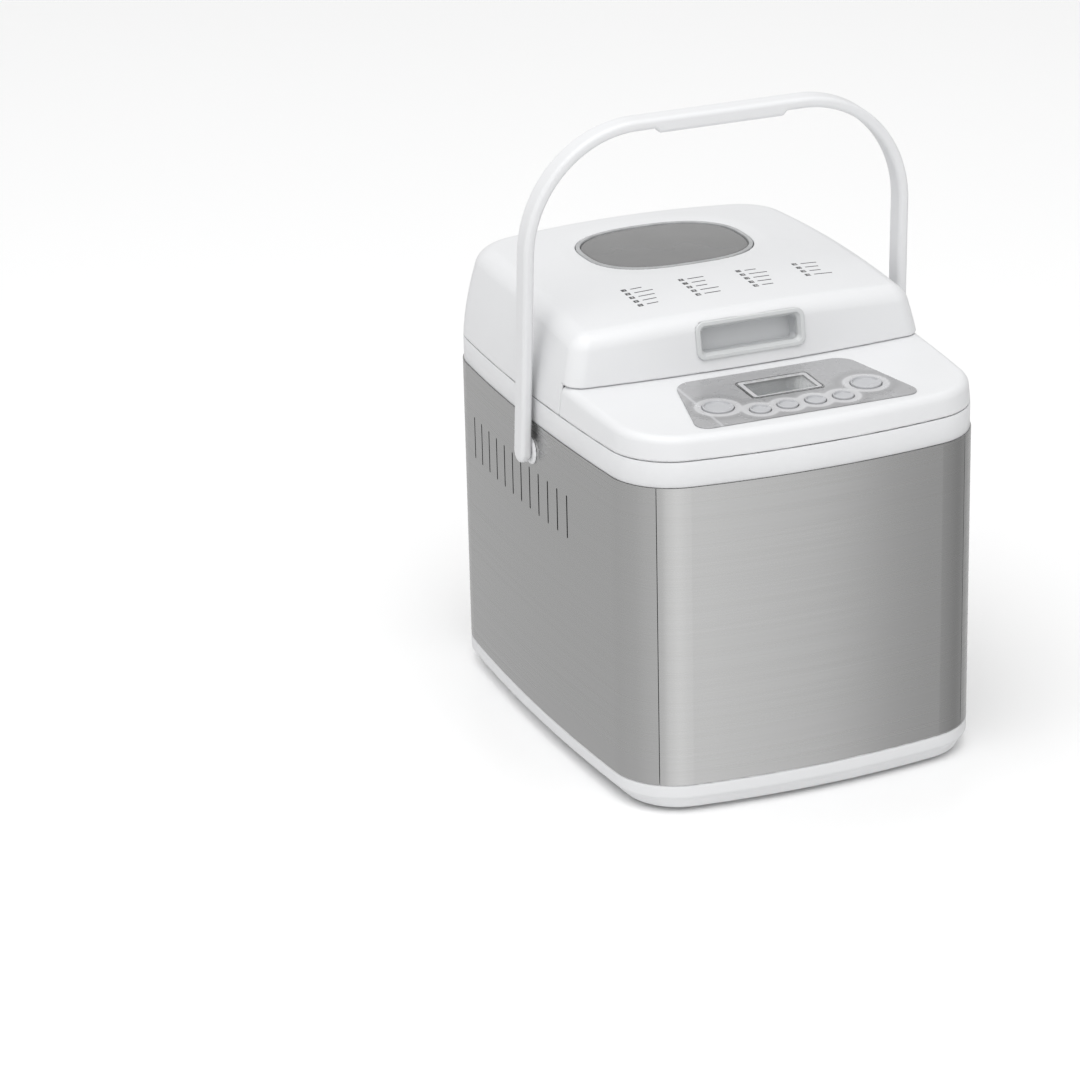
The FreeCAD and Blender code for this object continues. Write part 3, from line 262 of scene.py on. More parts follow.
def bump(tree, shader, height, depth):
    """Relief of the given depth in metres."""
    node = tree.nodes.new("ShaderNodeBump")
    socket(node, Distance=depth, Strength=1.0)
    tree.links.new(height, node.inputs["Height"])
    tree.links.new(node.outputs["Normal"], shader.inputs["Normal"])


def moulded_plastic(name, colour, gloss=0.32, grain=0.000012, tint=0.02):
    """Injection-moulded plastic: a faint eggshell grain, slow changes of tone, uneven gloss."""
    material, tree, shader, coords = start_material(name, IOR=1.49)
    tone = ranged(tree, noise(tree, coords, 9.0, 2.0), 0.0, 1.0)
    darker = tuple(c * (1 - tint) for c in colour)
    coloured(tree, shader, tone, darker, colour)
    patches = ranged(tree, noise(tree, coords, 55.0, 3.0), gloss - 0.04, gloss + 0.05)
    tree.links.new(patches, shader.inputs["Roughness"])
    bump(tree, shader, noise(tree, coords, 1900.0, 2.0), grain)
    return material


def brushed_metal(name, colour, darker, rough=0.24, grain=0.0000012, along=5.0, across=3400.0, lean=0.75):
    """Sheet metal brushed level: long fine lines along the sheet, so reflections smear upwards."""
    material, tree, shader, coords = start_material(name, Metallic=1.0, Anisotropic=lean)
    shader.inputs["Anisotropic Rotation"].default_value = 0.25
    tangent = tree.nodes.new("ShaderNodeTangent")
    tangent.direction_type = "RADIAL"
    tangent.axis = "Z"
    tree.links.new(tangent.outputs["Tangent"], shader.inputs["Tangent"])
    fine = noise(tree, coords, (along, along, across), 3.0, 0.6)
    broad = noise(tree, coords, (along * 0.4, along * 0.4, across * 0.12), 2.0, 0.5)
    coloured(tree, shader, ranged(tree, fine, 0.0, 1.0), darker, colour)
    roughened(tree, shader, broad, rough - 0.05, rough + 0.06)
    bump(tree, shader, fine, grain)
    return material


def plain_metal(name, colour, darker, rough, grain=0.00001, scale=240.0, lean=0.0):
    """Cast, plated or drawn metal with mottled tone and gloss."""
    material, tree, shader, coords = start_material(name, Metallic=1.0, Anisotropic=lean)
    mottle = noise(tree, coords, scale, 5.0, 0.6)
    coloured(tree, shader, ranged(tree, mottle, 0.0, 1.0), darker, colour)
    roughened(tree, shader, mottle, rough + 0.08, rough - 0.06)
    bump(tree, shader, noise(tree, coords, scale * 6, 3.0), grain)
    return material


def zinc_plate():
    """Galvanised sheet: faceted spangle in slightly different greys."""
    material, tree, shader, coords = start_material("zinc", Metallic=1.0)
    cells = tree.nodes.new("ShaderNodeTexVoronoi")
    cells.inputs["Scale"].default_value = 160.0
    tree.links.new(coords, cells.inputs["Vector"])
    facet = tree.nodes.new("ShaderNodeSeparateColor")
    tree.links.new(cells.outputs["Color"], facet.inputs["Color"])
    tone = between(tree, facet.outputs["Red"], (0.44, 0.46, 0.48), (0.62, 0.64, 0.66))
    tree.links.new(tone, shader.inputs["Base Color"])
    roughened(tree, shader, facet.outputs["Green"], 0.28, 0.46, (0.0, 1.0))
    bump(tree, shader, noise(tree, coords, 900.0, 3.0), 0.000008)
    return material


def non_stick_coating():
    """Dark, slightly speckled coating sprayed on the pan and the paddle."""
    material, tree, shader, coords = start_material("pan_coating", IOR=1.42)
    specks = tree.nodes.new("ShaderNodeTexVoronoi")
    specks.inputs["Scale"].default_value = 900.0
    tree.links.new(coords, specks.inputs["Vector"])
    fleck = ranged(tree, specks.outputs["Distance"], 1.0, 0.0, (0.05, 0.22))
    coloured(tree, shader, fleck, (0.045, 0.046, 0.050), (0.16, 0.16, 0.17))
    roughened(tree, shader, noise(tree, coords, 60.0), 0.34, 0.46)
    bump(tree, shader, noise(tree, coords, 1500.0, 3.0), 0.00002)
    return material


def rubber_like(name, colour, rough=0.7, grain=0.00003):
    material, tree, shader, coords = start_material(name, IOR=1.5, Specular_IOR_Level=0.35)
    dust = ranged(tree, noise(tree, coords, 140.0, 5.0), 0.0, 1.0)
    paler = tuple(c * 1.25 + 0.008 for c in colour)
    coloured(tree, shader, dust, colour, paler)
    roughened(tree, shader, noise(tree, coords, 40.0), rough - 0.08, rough + 0.08)
    bump(tree, shader, noise(tree, coords, 1200.0, 3.0), grain)
    return material


def smoked_glass():
    """Grey toughened glass, with the faintest waviness and a haze of fingerprints."""
    material, tree, shader, coords = start_material(
        "smoked_glass", IOR=1.52, Transmission_Weight=0.28, Coat_Weight=0.35, Coat_Roughness=0.04)
    haze = ranged(tree, noise(tree, coords, 30.0, 4.0), 0.0, 1.0)
    coloured(tree, shader, haze, (0.20, 0.20, 0.20), (0.225, 0.225, 0.225))
    roughened(tree, shader, noise(tree, coords, 45.0, 5.0), 0.10, 0.17)
    bump(tree, shader, noise(tree, coords, 22.0, 1.0), 0.00004)
    return material


def clear_lens():
    material, tree, shader, coords = start_material(
        "clear_lens", IOR=1.60, Transmission_Weight=0.9, Coat_Weight=0.4, Coat_Roughness=0.03)
    smear = ranged(tree, noise(tree, coords, 90.0, 4.0), 0.0, 1.0)
    coloured(tree, shader, smear, (0.94, 0.95, 0.95), (0.99, 0.99, 0.99))
    roughened(tree, shader, noise(tree, coords, 70.0, 4.0), 0.03, 0.07)
    return material


def display_glass():
    """The unlit liquid-crystal cell: dark grey with a faint grid of pixels."""
    material, tree, shader, coords = start_material(
        "display", Metallic=0.85, Coat_Weight=0.5, Coat_Roughness=0.05)
    grid = tree.nodes.new("ShaderNodeTexBrick")
    socket(grid, Scale=1.0, Brick_Width=0.6, Row_Height=0.6, Mortar_Size=0.05)
    grid.offset = 0.0
    socket(grid, Color1=(0.50, 0.51, 0.51, 1.0), Color2=(0.53, 0.54, 0.54, 1.0))
    socket(grid, Mortar=(0.44, 0.45, 0.45, 1.0))
    tree.links.new(stretched(tree, coords, (1000.0, 1000.0, 1000.0)), grid.inputs["Vector"])
    tree.links.new(grid.outputs["Color"], shader.inputs["Base Color"])
    roughened(tree, shader, noise(tree, coords, 80.0), 0.05, 0.09)
    return material


def circuit_board():
    material, tree, shader, coords = start_material("circuit", IOR=1.5)
    tracks = tree.nodes.new("ShaderNodeTexBrick")
    socket(tracks, Scale=1.0, Mortar_Size=0.12, Mortar=(0.05, 0.22, 0.09, 1.0))
    socket(tracks, Color1=(0.015, 0.10, 0.045, 1.0), Color2=(0.02, 0.12, 0.055, 1.0))
    tree.links.new(stretched(tree, coords, (170.0, 170.0, 170.0)), tracks.inputs["Vector"])
    tree.links.new(tracks.outputs["Color"], shader.inputs["Base Color"])
    roughened(tree, shader, noise(tree, coords, 120.0), 0.25, 0.4)
    return material


def flat_distance(tree, coords, x, y):
    """Distance from a place on the deck, seen from above."""
    away = tree.nodes.new("ShaderNodeVectorMath")
    away.operation = "SUBTRACT"
    away.inputs[1].default_value = (x, y, 0)
    tree.links.new(coords, away.inputs[0])
    level = tree.nodes.new("ShaderNodeVectorMath")
    level.operation = "MULTIPLY"
    level.inputs[1].default_value = (1, 1, 0)
    tree.links.new(away.outputs[0], level.inputs[0])
    length = tree.nodes.new("ShaderNodeVectorMath")
    length.operation = "LENGTH"
    tree.links.new(level.outputs[0], length.inputs[0])
    return length.outputs["Value"]


def combined(tree, operation, first, second, blend=0.0):
    node = tree.nodes.new("ShaderNodeMath")
    node.operation = operation
    tree.links.new(first, node.inputs[0])
    if isinstance(second, float):
        node.inputs[1].default_value = second
    else:
        tree.links.new(second, node.inputs[1])
    node.inputs[2].default_value = blend
    return node.outputs[0]


def silver_film():
    """Glossy control film: silver, with a painted highlight, a paler band that winds round the buttons, and
    a painted highlight line near its left edge.
    """
    material, tree, shader, coords = start_material(
        "silver_film", Metallic=0.1, IOR=1.5, Coat_Weight=0.4, Coat_Roughness=0.08)
    nearest = None
    for bx, by, radius in BUTTONS.values():
        y = DECK_BACK_Y + by * math.cos(DECK_TILT)
        edge = combined(tree, "SUBTRACT", flat_distance(tree, coords, bx * MM, y * MM), radius * MM)
        nearest = edge if nearest is None else combined(tree, "SMOOTH_MIN", nearest, edge, HIGHLIGHT_MERGE * MM)
    # Painted highlight: the film's colour is paler in a band round the buttons, as if lit there, and darker
    # further out.
    highlight_ramp = tree.nodes.new("ShaderNodeValToRGB")
    stops = highlight_ramp.color_ramp.elements
    levels = [(0.0, 0.40), (0.10, 0.52), (0.32, 0.56), (0.42, 0.34), (0.62, 0.30), (1.0, 0.36)]
    while len(stops) < len(levels):
        stops.new(0.5)
    for stop, (place, level) in zip(stops, levels):
        stop.position = place
        stop.color = (level, level, level * 1.02, 1.0)
    tree.links.new(ranged(tree, nearest, 0.0, 1.0, (0.0, HIGHLIGHT_REACH * MM)), highlight_ramp.inputs["Fac"])
    # Painted highlight: a thin paler line down the film near its left edge.
    split = tree.nodes.new("ShaderNodeSeparateXYZ")
    tree.links.new(coords, split.inputs[0])
    off_highlight_line = combined(tree, "SUBTRACT", split.outputs["X"], -HIGHLIGHT_LINE_X * MM)
    off_highlight_line = combined(tree, "ABSOLUTE", off_highlight_line, 0.0)
    line = ranged(tree, off_highlight_line, HIGHLIGHT_LINE_STRENGTH, 0.0, (0.0005, 0.0014))
    pale = tree.nodes.new("ShaderNodeMix")
    pale.data_type = "RGBA"
    pale.inputs["B"].default_value = (0.60, 0.60, 0.62, 1.0)
    tree.links.new(highlight_ramp.outputs["Color"], pale.inputs["A"])
    tree.links.new(line, pale.inputs["Factor"])
    tree.links.new(pale.outputs["Result"], shader.inputs["Base Color"])
    roughened(tree, shader, noise(tree, coords, 50.0), 0.22, 0.32)
    bump(tree, shader, noise(tree, coords, 35.0, 1.0), 0.00001)
    return material


def printed_ink(name, colour):
    """Pad-printed ink: matt, with slightly uneven cover."""
    material, tree, shader, coords = start_material(name, IOR=1.45)
    cover = ranged(tree, noise(tree, coords, 1500.0, 3.0), 0.0, 1.0)
    paler = tuple(0.9 * c + 0.03 for c in colour)
    coloured(tree, shader, cover, colour, paler)
    roughened(tree, shader, noise(tree, coords, 400.0), 0.42, 0.55)
    return material


def ceramic(name, colour):
    material, tree, shader, coords = start_material(name, IOR=1.6)
    tone = ranged(tree, noise(tree, coords, 300.0, 4.0), 0.0, 1.0)
    darker = tuple(c * 0.88 for c in colour)
    coloured(tree, shader, tone, darker, colour)
    roughened(tree, shader, noise(tree, coords, 90.0), 0.45, 0.6)
    bump(tree, shader, noise(tree, coords, 1600.0), 0.00001)
    return material


def floor_material():
    material, tree, shader, coords = start_material("pale_floor", IOR=1.4)
    tone = ranged(tree, noise(tree, coords, 0.8, 2.0), 0.0, 1.0)
    coloured(tree, shader, tone, (0.94, 0.94, 0.94), (0.945, 0.945, 0.945))
    roughened(tree, shader, noise(tree, coords, 2.0), 0.30, 0.305)
    return material


def make_materials():
    """One material for each slot that the record names, and the printing inks."""
    return {
        "white_plastic": moulded_plastic("white_plastic", (0.71, 0.715, 0.725)),
        "brushed_steel": brushed_metal("brushed_steel", (0.50, 0.50, 0.50), (0.475, 0.475, 0.47)),
        "zinc": zinc_plate(),
        "oven_steel": brushed_metal("oven_steel", (0.50, 0.49, 0.47), (0.36, 0.35, 0.33),
                                    rough=0.36, lean=0.4),
        "aluminium": plain_metal("aluminium", (0.78, 0.78, 0.79), (0.66, 0.66, 0.67), 0.34),
        "pan_coating": non_stick_coating(),
        "steel_shaft": plain_metal("steel_shaft", (0.62, 0.62, 0.62), (0.50, 0.50, 0.50), 0.2),
        "motor_steel": plain_metal("motor_steel", (0.40, 0.41, 0.43), (0.30, 0.31, 0.33), 0.38),
        "bronze": plain_metal("bronze", (0.62, 0.42, 0.22), (0.50, 0.32, 0.15), 0.36),
        "element": plain_metal("element", (0.20, 0.18, 0.17), (0.11, 0.095, 0.09), 0.5, 0.00003),
        "rubber": rubber_like("rubber", (0.022, 0.022, 0.023)),
        "seal_grey": rubber_like("seal_grey", (0.34, 0.345, 0.35), 0.4, 0.00001),
        "smoked_glass": smoked_glass(),
        "clear_lens": clear_lens(),
        "display": display_glass(),
        "circuit": circuit_board(),
        "black_plastic": moulded_plastic("black_plastic", (0.025, 0.025, 0.027), 0.42, 0.00003, 0.2),
        "white_ceramic": ceramic("white_ceramic", (0.80, 0.79, 0.76)),
        "pale_grey": moulded_plastic("pale_grey", (0.585, 0.597, 0.60), 0.34),
        "mid_grey": moulded_plastic("mid_grey", (0.62, 0.63, 0.64), 0.4),
        "silver_film": silver_film(),
        "dark_ink": printed_ink("dark_ink", (0.045, 0.045, 0.048)),
        "pale_ink": printed_ink("pale_ink", (0.80, 0.80, 0.80)),
        "silver_ink": printed_ink("silver_ink", (0.50, 0.50, 0.51)),
        "button_grey": moulded_plastic("button_grey", (0.46, 0.465, 0.48), 0.24),
    }


# ---------------------------------------------------------------- forms as distance fields
# A field gives, for points in millimetres, about how far each one is outside a form.

CORNER_X, CORNER_Y, CORNER_RADIUS = 81.6, 117.3, 43.9
BOW_SIDE, BOW_FRONT, BOW_REAR = 4.5, 6.0, 3.8
PLAN_Y = -0.75
WALL = 2.9
SEAM = 239.5
SEAM_GAP = 0.4
STEEL_BOTTOM = 20.5
BAND_BOTTOM = 10.5
TRAY_BOTTOM = 2.5
FLANK = [(239.9, 0.9), (259.5, 3.2), (278.0, 7.2), (296.0, 12.4), (312.0, 18.0)]
FLANK_CURVE = np.polyfit([z for z, _ in FLANK], [inset for _, inset in FLANK], 3)
DECK_EDGE = 5.0
PARTING_Y = -48.0
DOME_FRONT_Y = -67.0
DOME_LEAN = math.radians(10.0)
DOME_FRONT_RADIUS = 1243.0
DOME_TOP = [(-75.0, 294.4), (51.0, 304.3), (170.0, 301.6)]
DOME_CROWN = 0.00036
DOME_EDGE = 9.5
DOME_CORNER = 10.5
SOFT_EDGE = 1.0


def shared(*forms):
    """The room that all the forms share."""
    return functools.reduce(np.maximum, forms)


def joined(*forms):
    """All the forms together."""
    return functools.reduce(np.minimum, forms)


def rounded_max(a, b, radius):
    """Where two forms overlap, with a round of the given radius along their meeting edge."""
    outside = np.hypot(np.maximum(a + radius, 0), np.maximum(b + radius, 0))
    return np.minimum(np.maximum(a, b), -radius) + outside


def rounded_min(a, b, radius):
    """Two forms together, with a fillet of the given radius where they meet."""
    return -rounded_max(-a, -b, radius)


def smooth_step(value):
    t = np.clip(value, 0, 1)
    return t * t * (3 - 2 * t)


def bow_radius(half_chord, bow):
    return (half_chord ** 2 + bow ** 2) / (2 * bow)


def plan(x, y, shift=0.0):
    """Distance outside the body's plan, a rectangle with four bowed sides and round corners."""
    y = y - PLAN_Y - shift
    bow = np.where(y < 0, BOW_FRONT, BOW_REAR)
    x = np.abs(x)
    y = np.abs(y)
    side = bow_radius(CORNER_Y, BOW_SIDE)
    end = bow_radius(CORNER_X, bow)
    side_middle = CORNER_X + BOW_SIDE - side
    end_middle = CORNER_Y + bow - end
    across = np.hypot(x - side_middle, y) - side
    along = np.hypot(x, y - end_middle) - end
    past_side = y * (CORNER_X - side_middle) > CORNER_Y * (x - side_middle)
    past_end = x * (CORNER_Y - end_middle) > CORNER_X * (y - end_middle)
    corner = np.hypot(x - CORNER_X, y - CORNER_Y)
    return np.where(past_side & past_end, corner, np.maximum(across, along)) - CORNER_RADIUS


def flank(x, y, z):
    """The leaning, slightly bowed sides that the lid and the deck share."""
    slope = np.polyval(np.polyder(FLANK_CURVE), z)
    return (plan(x, y) + np.polyval(FLANK_CURVE, z)) / np.sqrt(1 + slope ** 2)


def above_deck(y, z, lift=0.0):
    """Height above the deck's sloping top."""
    line = DECK_BACK_Z + lift + math.tan(DECK_TILT) * (y - DECK_BACK_Y)
    return (z - line) * math.cos(DECK_TILT)


def circle_through(first, second, third):
    """Centre and radius of the circle through three points of the YZ plane."""
    (ax, ay), (bx, by), (cx, cy) = first, second, third
    rows = np.array([[bx - ax, by - ay], [cx - ax, cy - ay]])
    sums = np.array([bx ** 2 - ax ** 2 + by ** 2 - ay ** 2, cx ** 2 - ax ** 2 + cy ** 2 - ay ** 2]) / 2
    centre = np.linalg.solve(rows, sums)
    return centre, float(np.hypot(ax - centre[0], ay - centre[1]))


TOP_CENTRE, TOP_RADIUS = circle_through(*DOME_TOP)


def dome_height(x, y):
    """The height of the lid's arched and crowned top."""
    arch = TOP_CENTRE[1] + np.sqrt(TOP_RADIUS ** 2 - (y - TOP_CENTRE[0]) ** 2)
    return arch - DOME_CROWN * x ** 2


def dome_front(x, y, z):
    """Distance in front of the lid's leaning, bowed front face."""
    axis = np.array([0.0, math.sin(DOME_LEAN), math.cos(DOME_LEAN)])
    dy = y - (DOME_FRONT_Y + DOME_FRONT_RADIUS / math.cos(DOME_LEAN))
    dz = z - DECK_BACK_Z
    along = dy * axis[1] + dz * axis[2]
    return np.sqrt(np.maximum(x ** 2 + dy ** 2 + dz ** 2 - along ** 2, 0)) - DOME_FRONT_RADIUS


def dome(x, y, z, inset=0.0):
    sides = flank(x, y, z) + inset
    upright = rounded_max(sides, dome_front(x, y, z) + inset, DOME_CORNER - inset)
    return rounded_max(upright, z - dome_height(x, y) + inset, DOME_EDGE - inset)


def rounded_rectangle(u, v, half_u, half_v, radius):
    qu = np.abs(u) - half_u + radius
    qv = np.abs(v) - half_v + radius
    outside = np.hypot(np.maximum(qu, 0), np.maximum(qv, 0))
    return outside + np.minimum(np.maximum(qu, qv), 0) - radius


WINDOW_Y = 69.5
WINDOW_HALF_X, WINDOW_HALF_Y = 56.0, 42.5
WINDOW_POWER = 2.6


def window(x, y, grow=0.0):
    """Distance outside the window's outline, a superellipse grown outwards by grow."""
    v = y - WINDOW_Y
    power = np.abs(x / (WINDOW_HALF_X + grow)) ** WINDOW_POWER
    power = power + np.abs(v / (WINDOW_HALF_Y + grow)) ** WINDOW_POWER
    scale = np.maximum(power, 1e-9) ** (1 / WINDOW_POWER)
    return np.hypot(x, v) * (1 - 1 / np.maximum(scale, 0.05))


GRIP_HALF_X, GRIP_HALF_UP = 38.5, 12.6
GRIP_Z = 280.2
GRIP_HOLE_MARGIN = 1.5
GRIP_HOLE_CORNER = 4
GRIP_HOLE_REACH = 12


def grip_frame_place(x, y, z):
    """Across, up and inwards in the lid's front face, from the middle of the finger recess."""
    dy = y - (DOME_FRONT_Y + (GRIP_Z - DECK_BACK_Z) * math.tan(DOME_LEAN))
    dz = z - GRIP_Z
    up = dy * math.sin(DOME_LEAN) + dz * math.cos(DOME_LEAN)
    inwards = dy * math.cos(DOME_LEAN) - dz * math.sin(DOME_LEAN)
    return x, up, inwards


def rods(x, y, places, radius):
    """Distance outside a set of upright rods."""
    return np.minimum.reduce([np.hypot(x - px, y - py) - radius for px, py in places])


LID_POSTS = [(-113, 10), (113, 10), (-113, 100), (113, 100)]
LID_POST_RADIUS = 3.5
LID_POST_BOTTOM = 242.1
DISH_DEPTH = 0.7
DISH_FROM = 3
DISH_WIDE = 13.0
WINDOW_HOLE_GROW = 3.2
WINDOW_HOLE_EDGE = 0.7


def lid_shell(x, y, z):
    """White lid moulding: a dome on a skirt, open below, with holes for the window and the grip."""
    dished = z + DISH_DEPTH * (1 - smooth_step((window(x, y) - DISH_FROM) / DISH_WIDE))
    deck = above_deck(y, z)
    skirt = shared(flank(x, y, z), deck, PARTING_Y - y)
    body = np.minimum(dome(x, y, dished), skirt)
    foot = np.minimum(np.maximum(SEAM + SEAM_GAP - z, PARTING_Y - y), SEAM_GAP - deck)
    body = rounded_max(body, foot, SOFT_EDGE)
    inside_skirt = shared(flank(x, y, z) + WALL, deck - 3, PARTING_Y - WALL - y)
    hollow = np.minimum(dome(x, y, z, WALL), inside_skirt)
    posts = np.maximum(rods(x, y, LID_POSTS, LID_POST_RADIUS), LID_POST_BOTTOM - z)
    shell = np.maximum(body, -np.maximum(hollow, -posts))
    shell = rounded_max(shell, -window(x, y, WINDOW_HOLE_GROW), WINDOW_HOLE_EDGE)
    across, up, inwards = grip_frame_place(x, y, z)
    half_x, half_up = GRIP_HALF_X - GRIP_HOLE_MARGIN, GRIP_HALF_UP - GRIP_HOLE_MARGIN
    hole = rounded_rectangle(across, up, half_x, half_up, GRIP_HOLE_CORNER)
    return np.maximum(shell, -np.maximum(hole, np.abs(inwards) - GRIP_HOLE_REACH))


def deck_place(y, z):
    """Along the deck's slope from its rear edge, and up from it."""
    c, s = math.cos(DECK_TILT), math.sin(DECK_TILT)
    return (y - DECK_BACK_Y) * c + (z - DECK_BACK_Z) * s, (z - DECK_BACK_Z) * c - (y - DECK_BACK_Y) * s


BUTTON_GAP = 0.35
DISPLAY_CORNER = 3


def control_holes(x, v):
    """Distance outside the holes for the buttons and the display."""
    holes = [np.hypot(x - bx, v - by) - radius - BUTTON_GAP for bx, by, radius in BUTTONS.values()]
    holes.append(rounded_rectangle(x, v - DISPLAY_Y, DISPLAY_HALF_X, DISPLAY_HALF_Y, DISPLAY_CORNER))
    return np.minimum.reduce(holes)


def deck_form(x, y, z):
    """White control deck: a shell with a sloping top, open below."""
    back = y - (PARTING_Y - SEAM_GAP)
    sides = flank(x, y, z)
    deck = above_deck(y, z)
    body = rounded_max(sides, deck, DECK_EDGE)
    body = rounded_max(body, back, SOFT_EDGE)
    body = rounded_max(body, SEAM + SEAM_GAP - z, SOFT_EDGE)
    room = rounded_max(sides + WALL, deck + WALL, DECK_EDGE - WALL)
    room = np.maximum(room, back + WALL)
    shell = np.maximum(body, -room)
    v, _ = deck_place(y, z)
    return np.maximum(shell, -control_holes(x, v))


OVERLAY_REAR, OVERLAY_FRONT = -16.4, -92.0
OVERLAY_REAR_HALF, OVERLAY_FRONT_HALF = 60.6, 79.2
OVERLAY_THICK = 0.9
OVERLAY_CORNER = 11.0
OVERLAY_EDGE = 0.35
OVERLAY_HOLE_EDGE = 0.3


def overlay_form(x, y, z):
    """Control film on its carrier: a plate wider at the front, with round corners."""
    v, w = deck_place(y, z)
    lean = (OVERLAY_FRONT_HALF - OVERLAY_REAR_HALF) / (OVERLAY_REAR - OVERLAY_FRONT)
    side = (np.abs(x) - OVERLAY_REAR_HALF - lean * (OVERLAY_REAR - v)) / math.hypot(1, lean)
    ends = np.abs(v - (OVERLAY_REAR + OVERLAY_FRONT) / 2) - (OVERLAY_REAR - OVERLAY_FRONT) / 2
    plate = rounded_max(side, ends, OVERLAY_CORNER)
    plate = rounded_max(plate, np.abs(w - OVERLAY_THICK / 2) - OVERLAY_THICK / 2, OVERLAY_EDGE)
    return rounded_max(plate, -control_holes(x, v), OVERLAY_HOLE_EDGE)


BUTTON_PROUD = 2.0
BUTTON_EDGE = 0.6
BUTTON_RIM = 0.7
DISH_FRONT, DISH_REAR = 0.1, 1.3
STEM_RADIUS = 2.2


def button_form(bx, by, radius):
    """A push button with a dished top, a collar and a stem."""
    def field(x, y, z):
        v, w = deck_place(y, z)
        reach = np.hypot(x - bx, v - by)
        inner = smooth_step((radius - BUTTON_RIM - reach) / 0.9)
        rear = smooth_step((v - by - 0.1) / 0.6)
        top = BUTTON_PROUD - inner * (DISH_FRONT + DISH_REAR * rear)
        cap = rounded_max(reach - radius, np.maximum(w - top, -3.5 - w), BUTTON_EDGE)
        collar = shared(reach - radius - 1.1, np.abs(w + 3.65) - 0.75)
        stem = shared(reach - STEM_RADIUS, w + 4.0, -5.9 - w)
        return joined(cap, collar, stem)
    return field


BASE_SCREWS = [(-88, -90), (88, -90), (-100, 0), (100, 0), (-88, 100), (88, 100)]
FOOT_PLACES = [(-97, -131), (97, -131), (-97, 128), (97, 128)]
MOTOR_Y = -108.0
BAND_GAP, BAND_EDGE = 0.2, 1.8
TIER_SHIFT, TIER_SHIFT_CHANGE = -4.5, 3.9
TIER_INSET, TIER_INSET_CHANGE = 9.0, 7.4
TIER_SLOPE, TIER_EDGE, TIER_FILLET = 0.76, 1.6, 0.8
TIER_OVERLAP = 3
SCREW_BOSS_RADIUS, SCREW_BOSS_TOP = 5, 12
SCREW_BORE, SCREW_HEAD, SCREW_HEAD_DEPTH = 1.7, 3.4, 1.6
FOOT_PLUG = 3.1
VENT_PITCH, VENT_HALF = 9, 1.5
VENT_REACH_Y, VENT_REACH_X, VENT_TOP = 31, 45, 6


def tray_outside(x, y, z, inset, floor):
    """Outside of the base: a band flush with the steel, and a tier that narrows below it."""
    heights = np.maximum(z - STEEL_BOTTOM + BAND_GAP, BAND_BOTTOM + inset - z)
    band = rounded_max(plan(x, y) + inset, heights, BAND_EDGE)
    share = np.clip((z - floor) / (BAND_BOTTOM - floor), 0, 1)
    tier = plan(x, y, TIER_SHIFT + TIER_SHIFT_CHANGE * share)
    tier = tier + TIER_INSET - TIER_INSET_CHANGE * share + inset
    tier = rounded_max(tier * TIER_SLOPE, np.maximum(z - BAND_BOTTOM - TIER_OVERLAP, floor - z), TIER_EDGE)
    return rounded_min(band, tier, TIER_FILLET)


def base_form(x, y, z):
    """White base moulding: a flush band under the steel and a tucked-in tier below it."""
    outside = tray_outside(x, y, z, 0.0, TRAY_BOTTOM)
    low = np.minimum(z, STEEL_BOTTOM - 4)
    room = tray_outside(x, y, low, WALL, TRAY_BOTTOM + WALL)
    tray = np.maximum(outside, -room)
    edge = plan(x, y)
    lip = shared(edge + 1.2, -3.4 - edge, 17.0 - z, z - STEEL_BOTTOM - 5)
    bosses = shared(rods(x, y, BASE_SCREWS, SCREW_BOSS_RADIUS), TRAY_BOTTOM + 1 - z, z - SCREW_BOSS_TOP)
    bores = rods(x, y, BASE_SCREWS, SCREW_BORE)
    heads = rods(x, y, BASE_SCREWS, SCREW_HEAD)
    heads = np.maximum(heads, z - TRAY_BOTTOM - SCREW_HEAD_DEPTH)
    plugs = rods(x, y, FOOT_PLACES, FOOT_PLUG)
    rows = np.abs((y - MOTOR_Y + VENT_PITCH / 2) % VENT_PITCH - VENT_PITCH / 2) - VENT_HALF
    vents = shared(rows, np.abs(y - MOTOR_Y) - VENT_REACH_Y, np.abs(x) - VENT_REACH_X, z - VENT_TOP)
    return np.maximum(joined(tray, lip, bosses), -joined(bores, heads, plugs, vents))


PIVOT_Y, PIVOT_Z = -3.8, 202.6
HANDLE_LEAN = math.radians(3.4)
HANDLE_FOOT_X, HANDLE_SHOULDER_X = 139.6, 137.4
HANDLE_SHOULDER, HANDLE_RISE = 134.5, 217.3
HANDLE_FLAT_X = 58.5
STRAP_THICK, STRAP_WIDE = 7.4, 15.0
STRAP_EDGE = 2.9
GRIP_BULGE = 3.2
GRIP_HALF = 47.0
GRIP_RAMP = 4.5
PIVOT_BORE = 3.05
PIVOT_BORE_END = 2
BOSS_RADIUS = 9.7
BOSS_GAP, BOSS_EDGE, BOSS_BORE = 0.3, 2.2, 3.0


def arch(x, z, inset, bulge=0.0):
    """Distance outside the arch's outline, moved inwards by inset."""
    wide = HANDLE_SHOULDER_X - HANDLE_FLAT_X - inset
    tall = HANDLE_RISE - HANDLE_SHOULDER - inset
    leg = HANDLE_FOOT_X - inset - (HANDLE_FOOT_X - HANDLE_SHOULDER_X) * z / HANDLE_SHOULDER
    px = np.maximum(np.abs(x) - HANDLE_FLAT_X, 0)
    pz = np.maximum(z - HANDLE_SHOULDER, 0)
    reach = np.maximum(np.hypot(px / wide, pz / tall), 0.02)
    steepness = np.hypot(px / wide ** 2, pz / tall ** 2) / reach
    round_part = (reach - 1) / np.maximum(steepness, 1e-4)
    top = z - HANDLE_RISE + inset + bulge
    above = np.where(np.abs(x) < HANDLE_FLAT_X, top, round_part)
    return np.where(z < HANDLE_SHOULDER, np.abs(x) - leg, above)


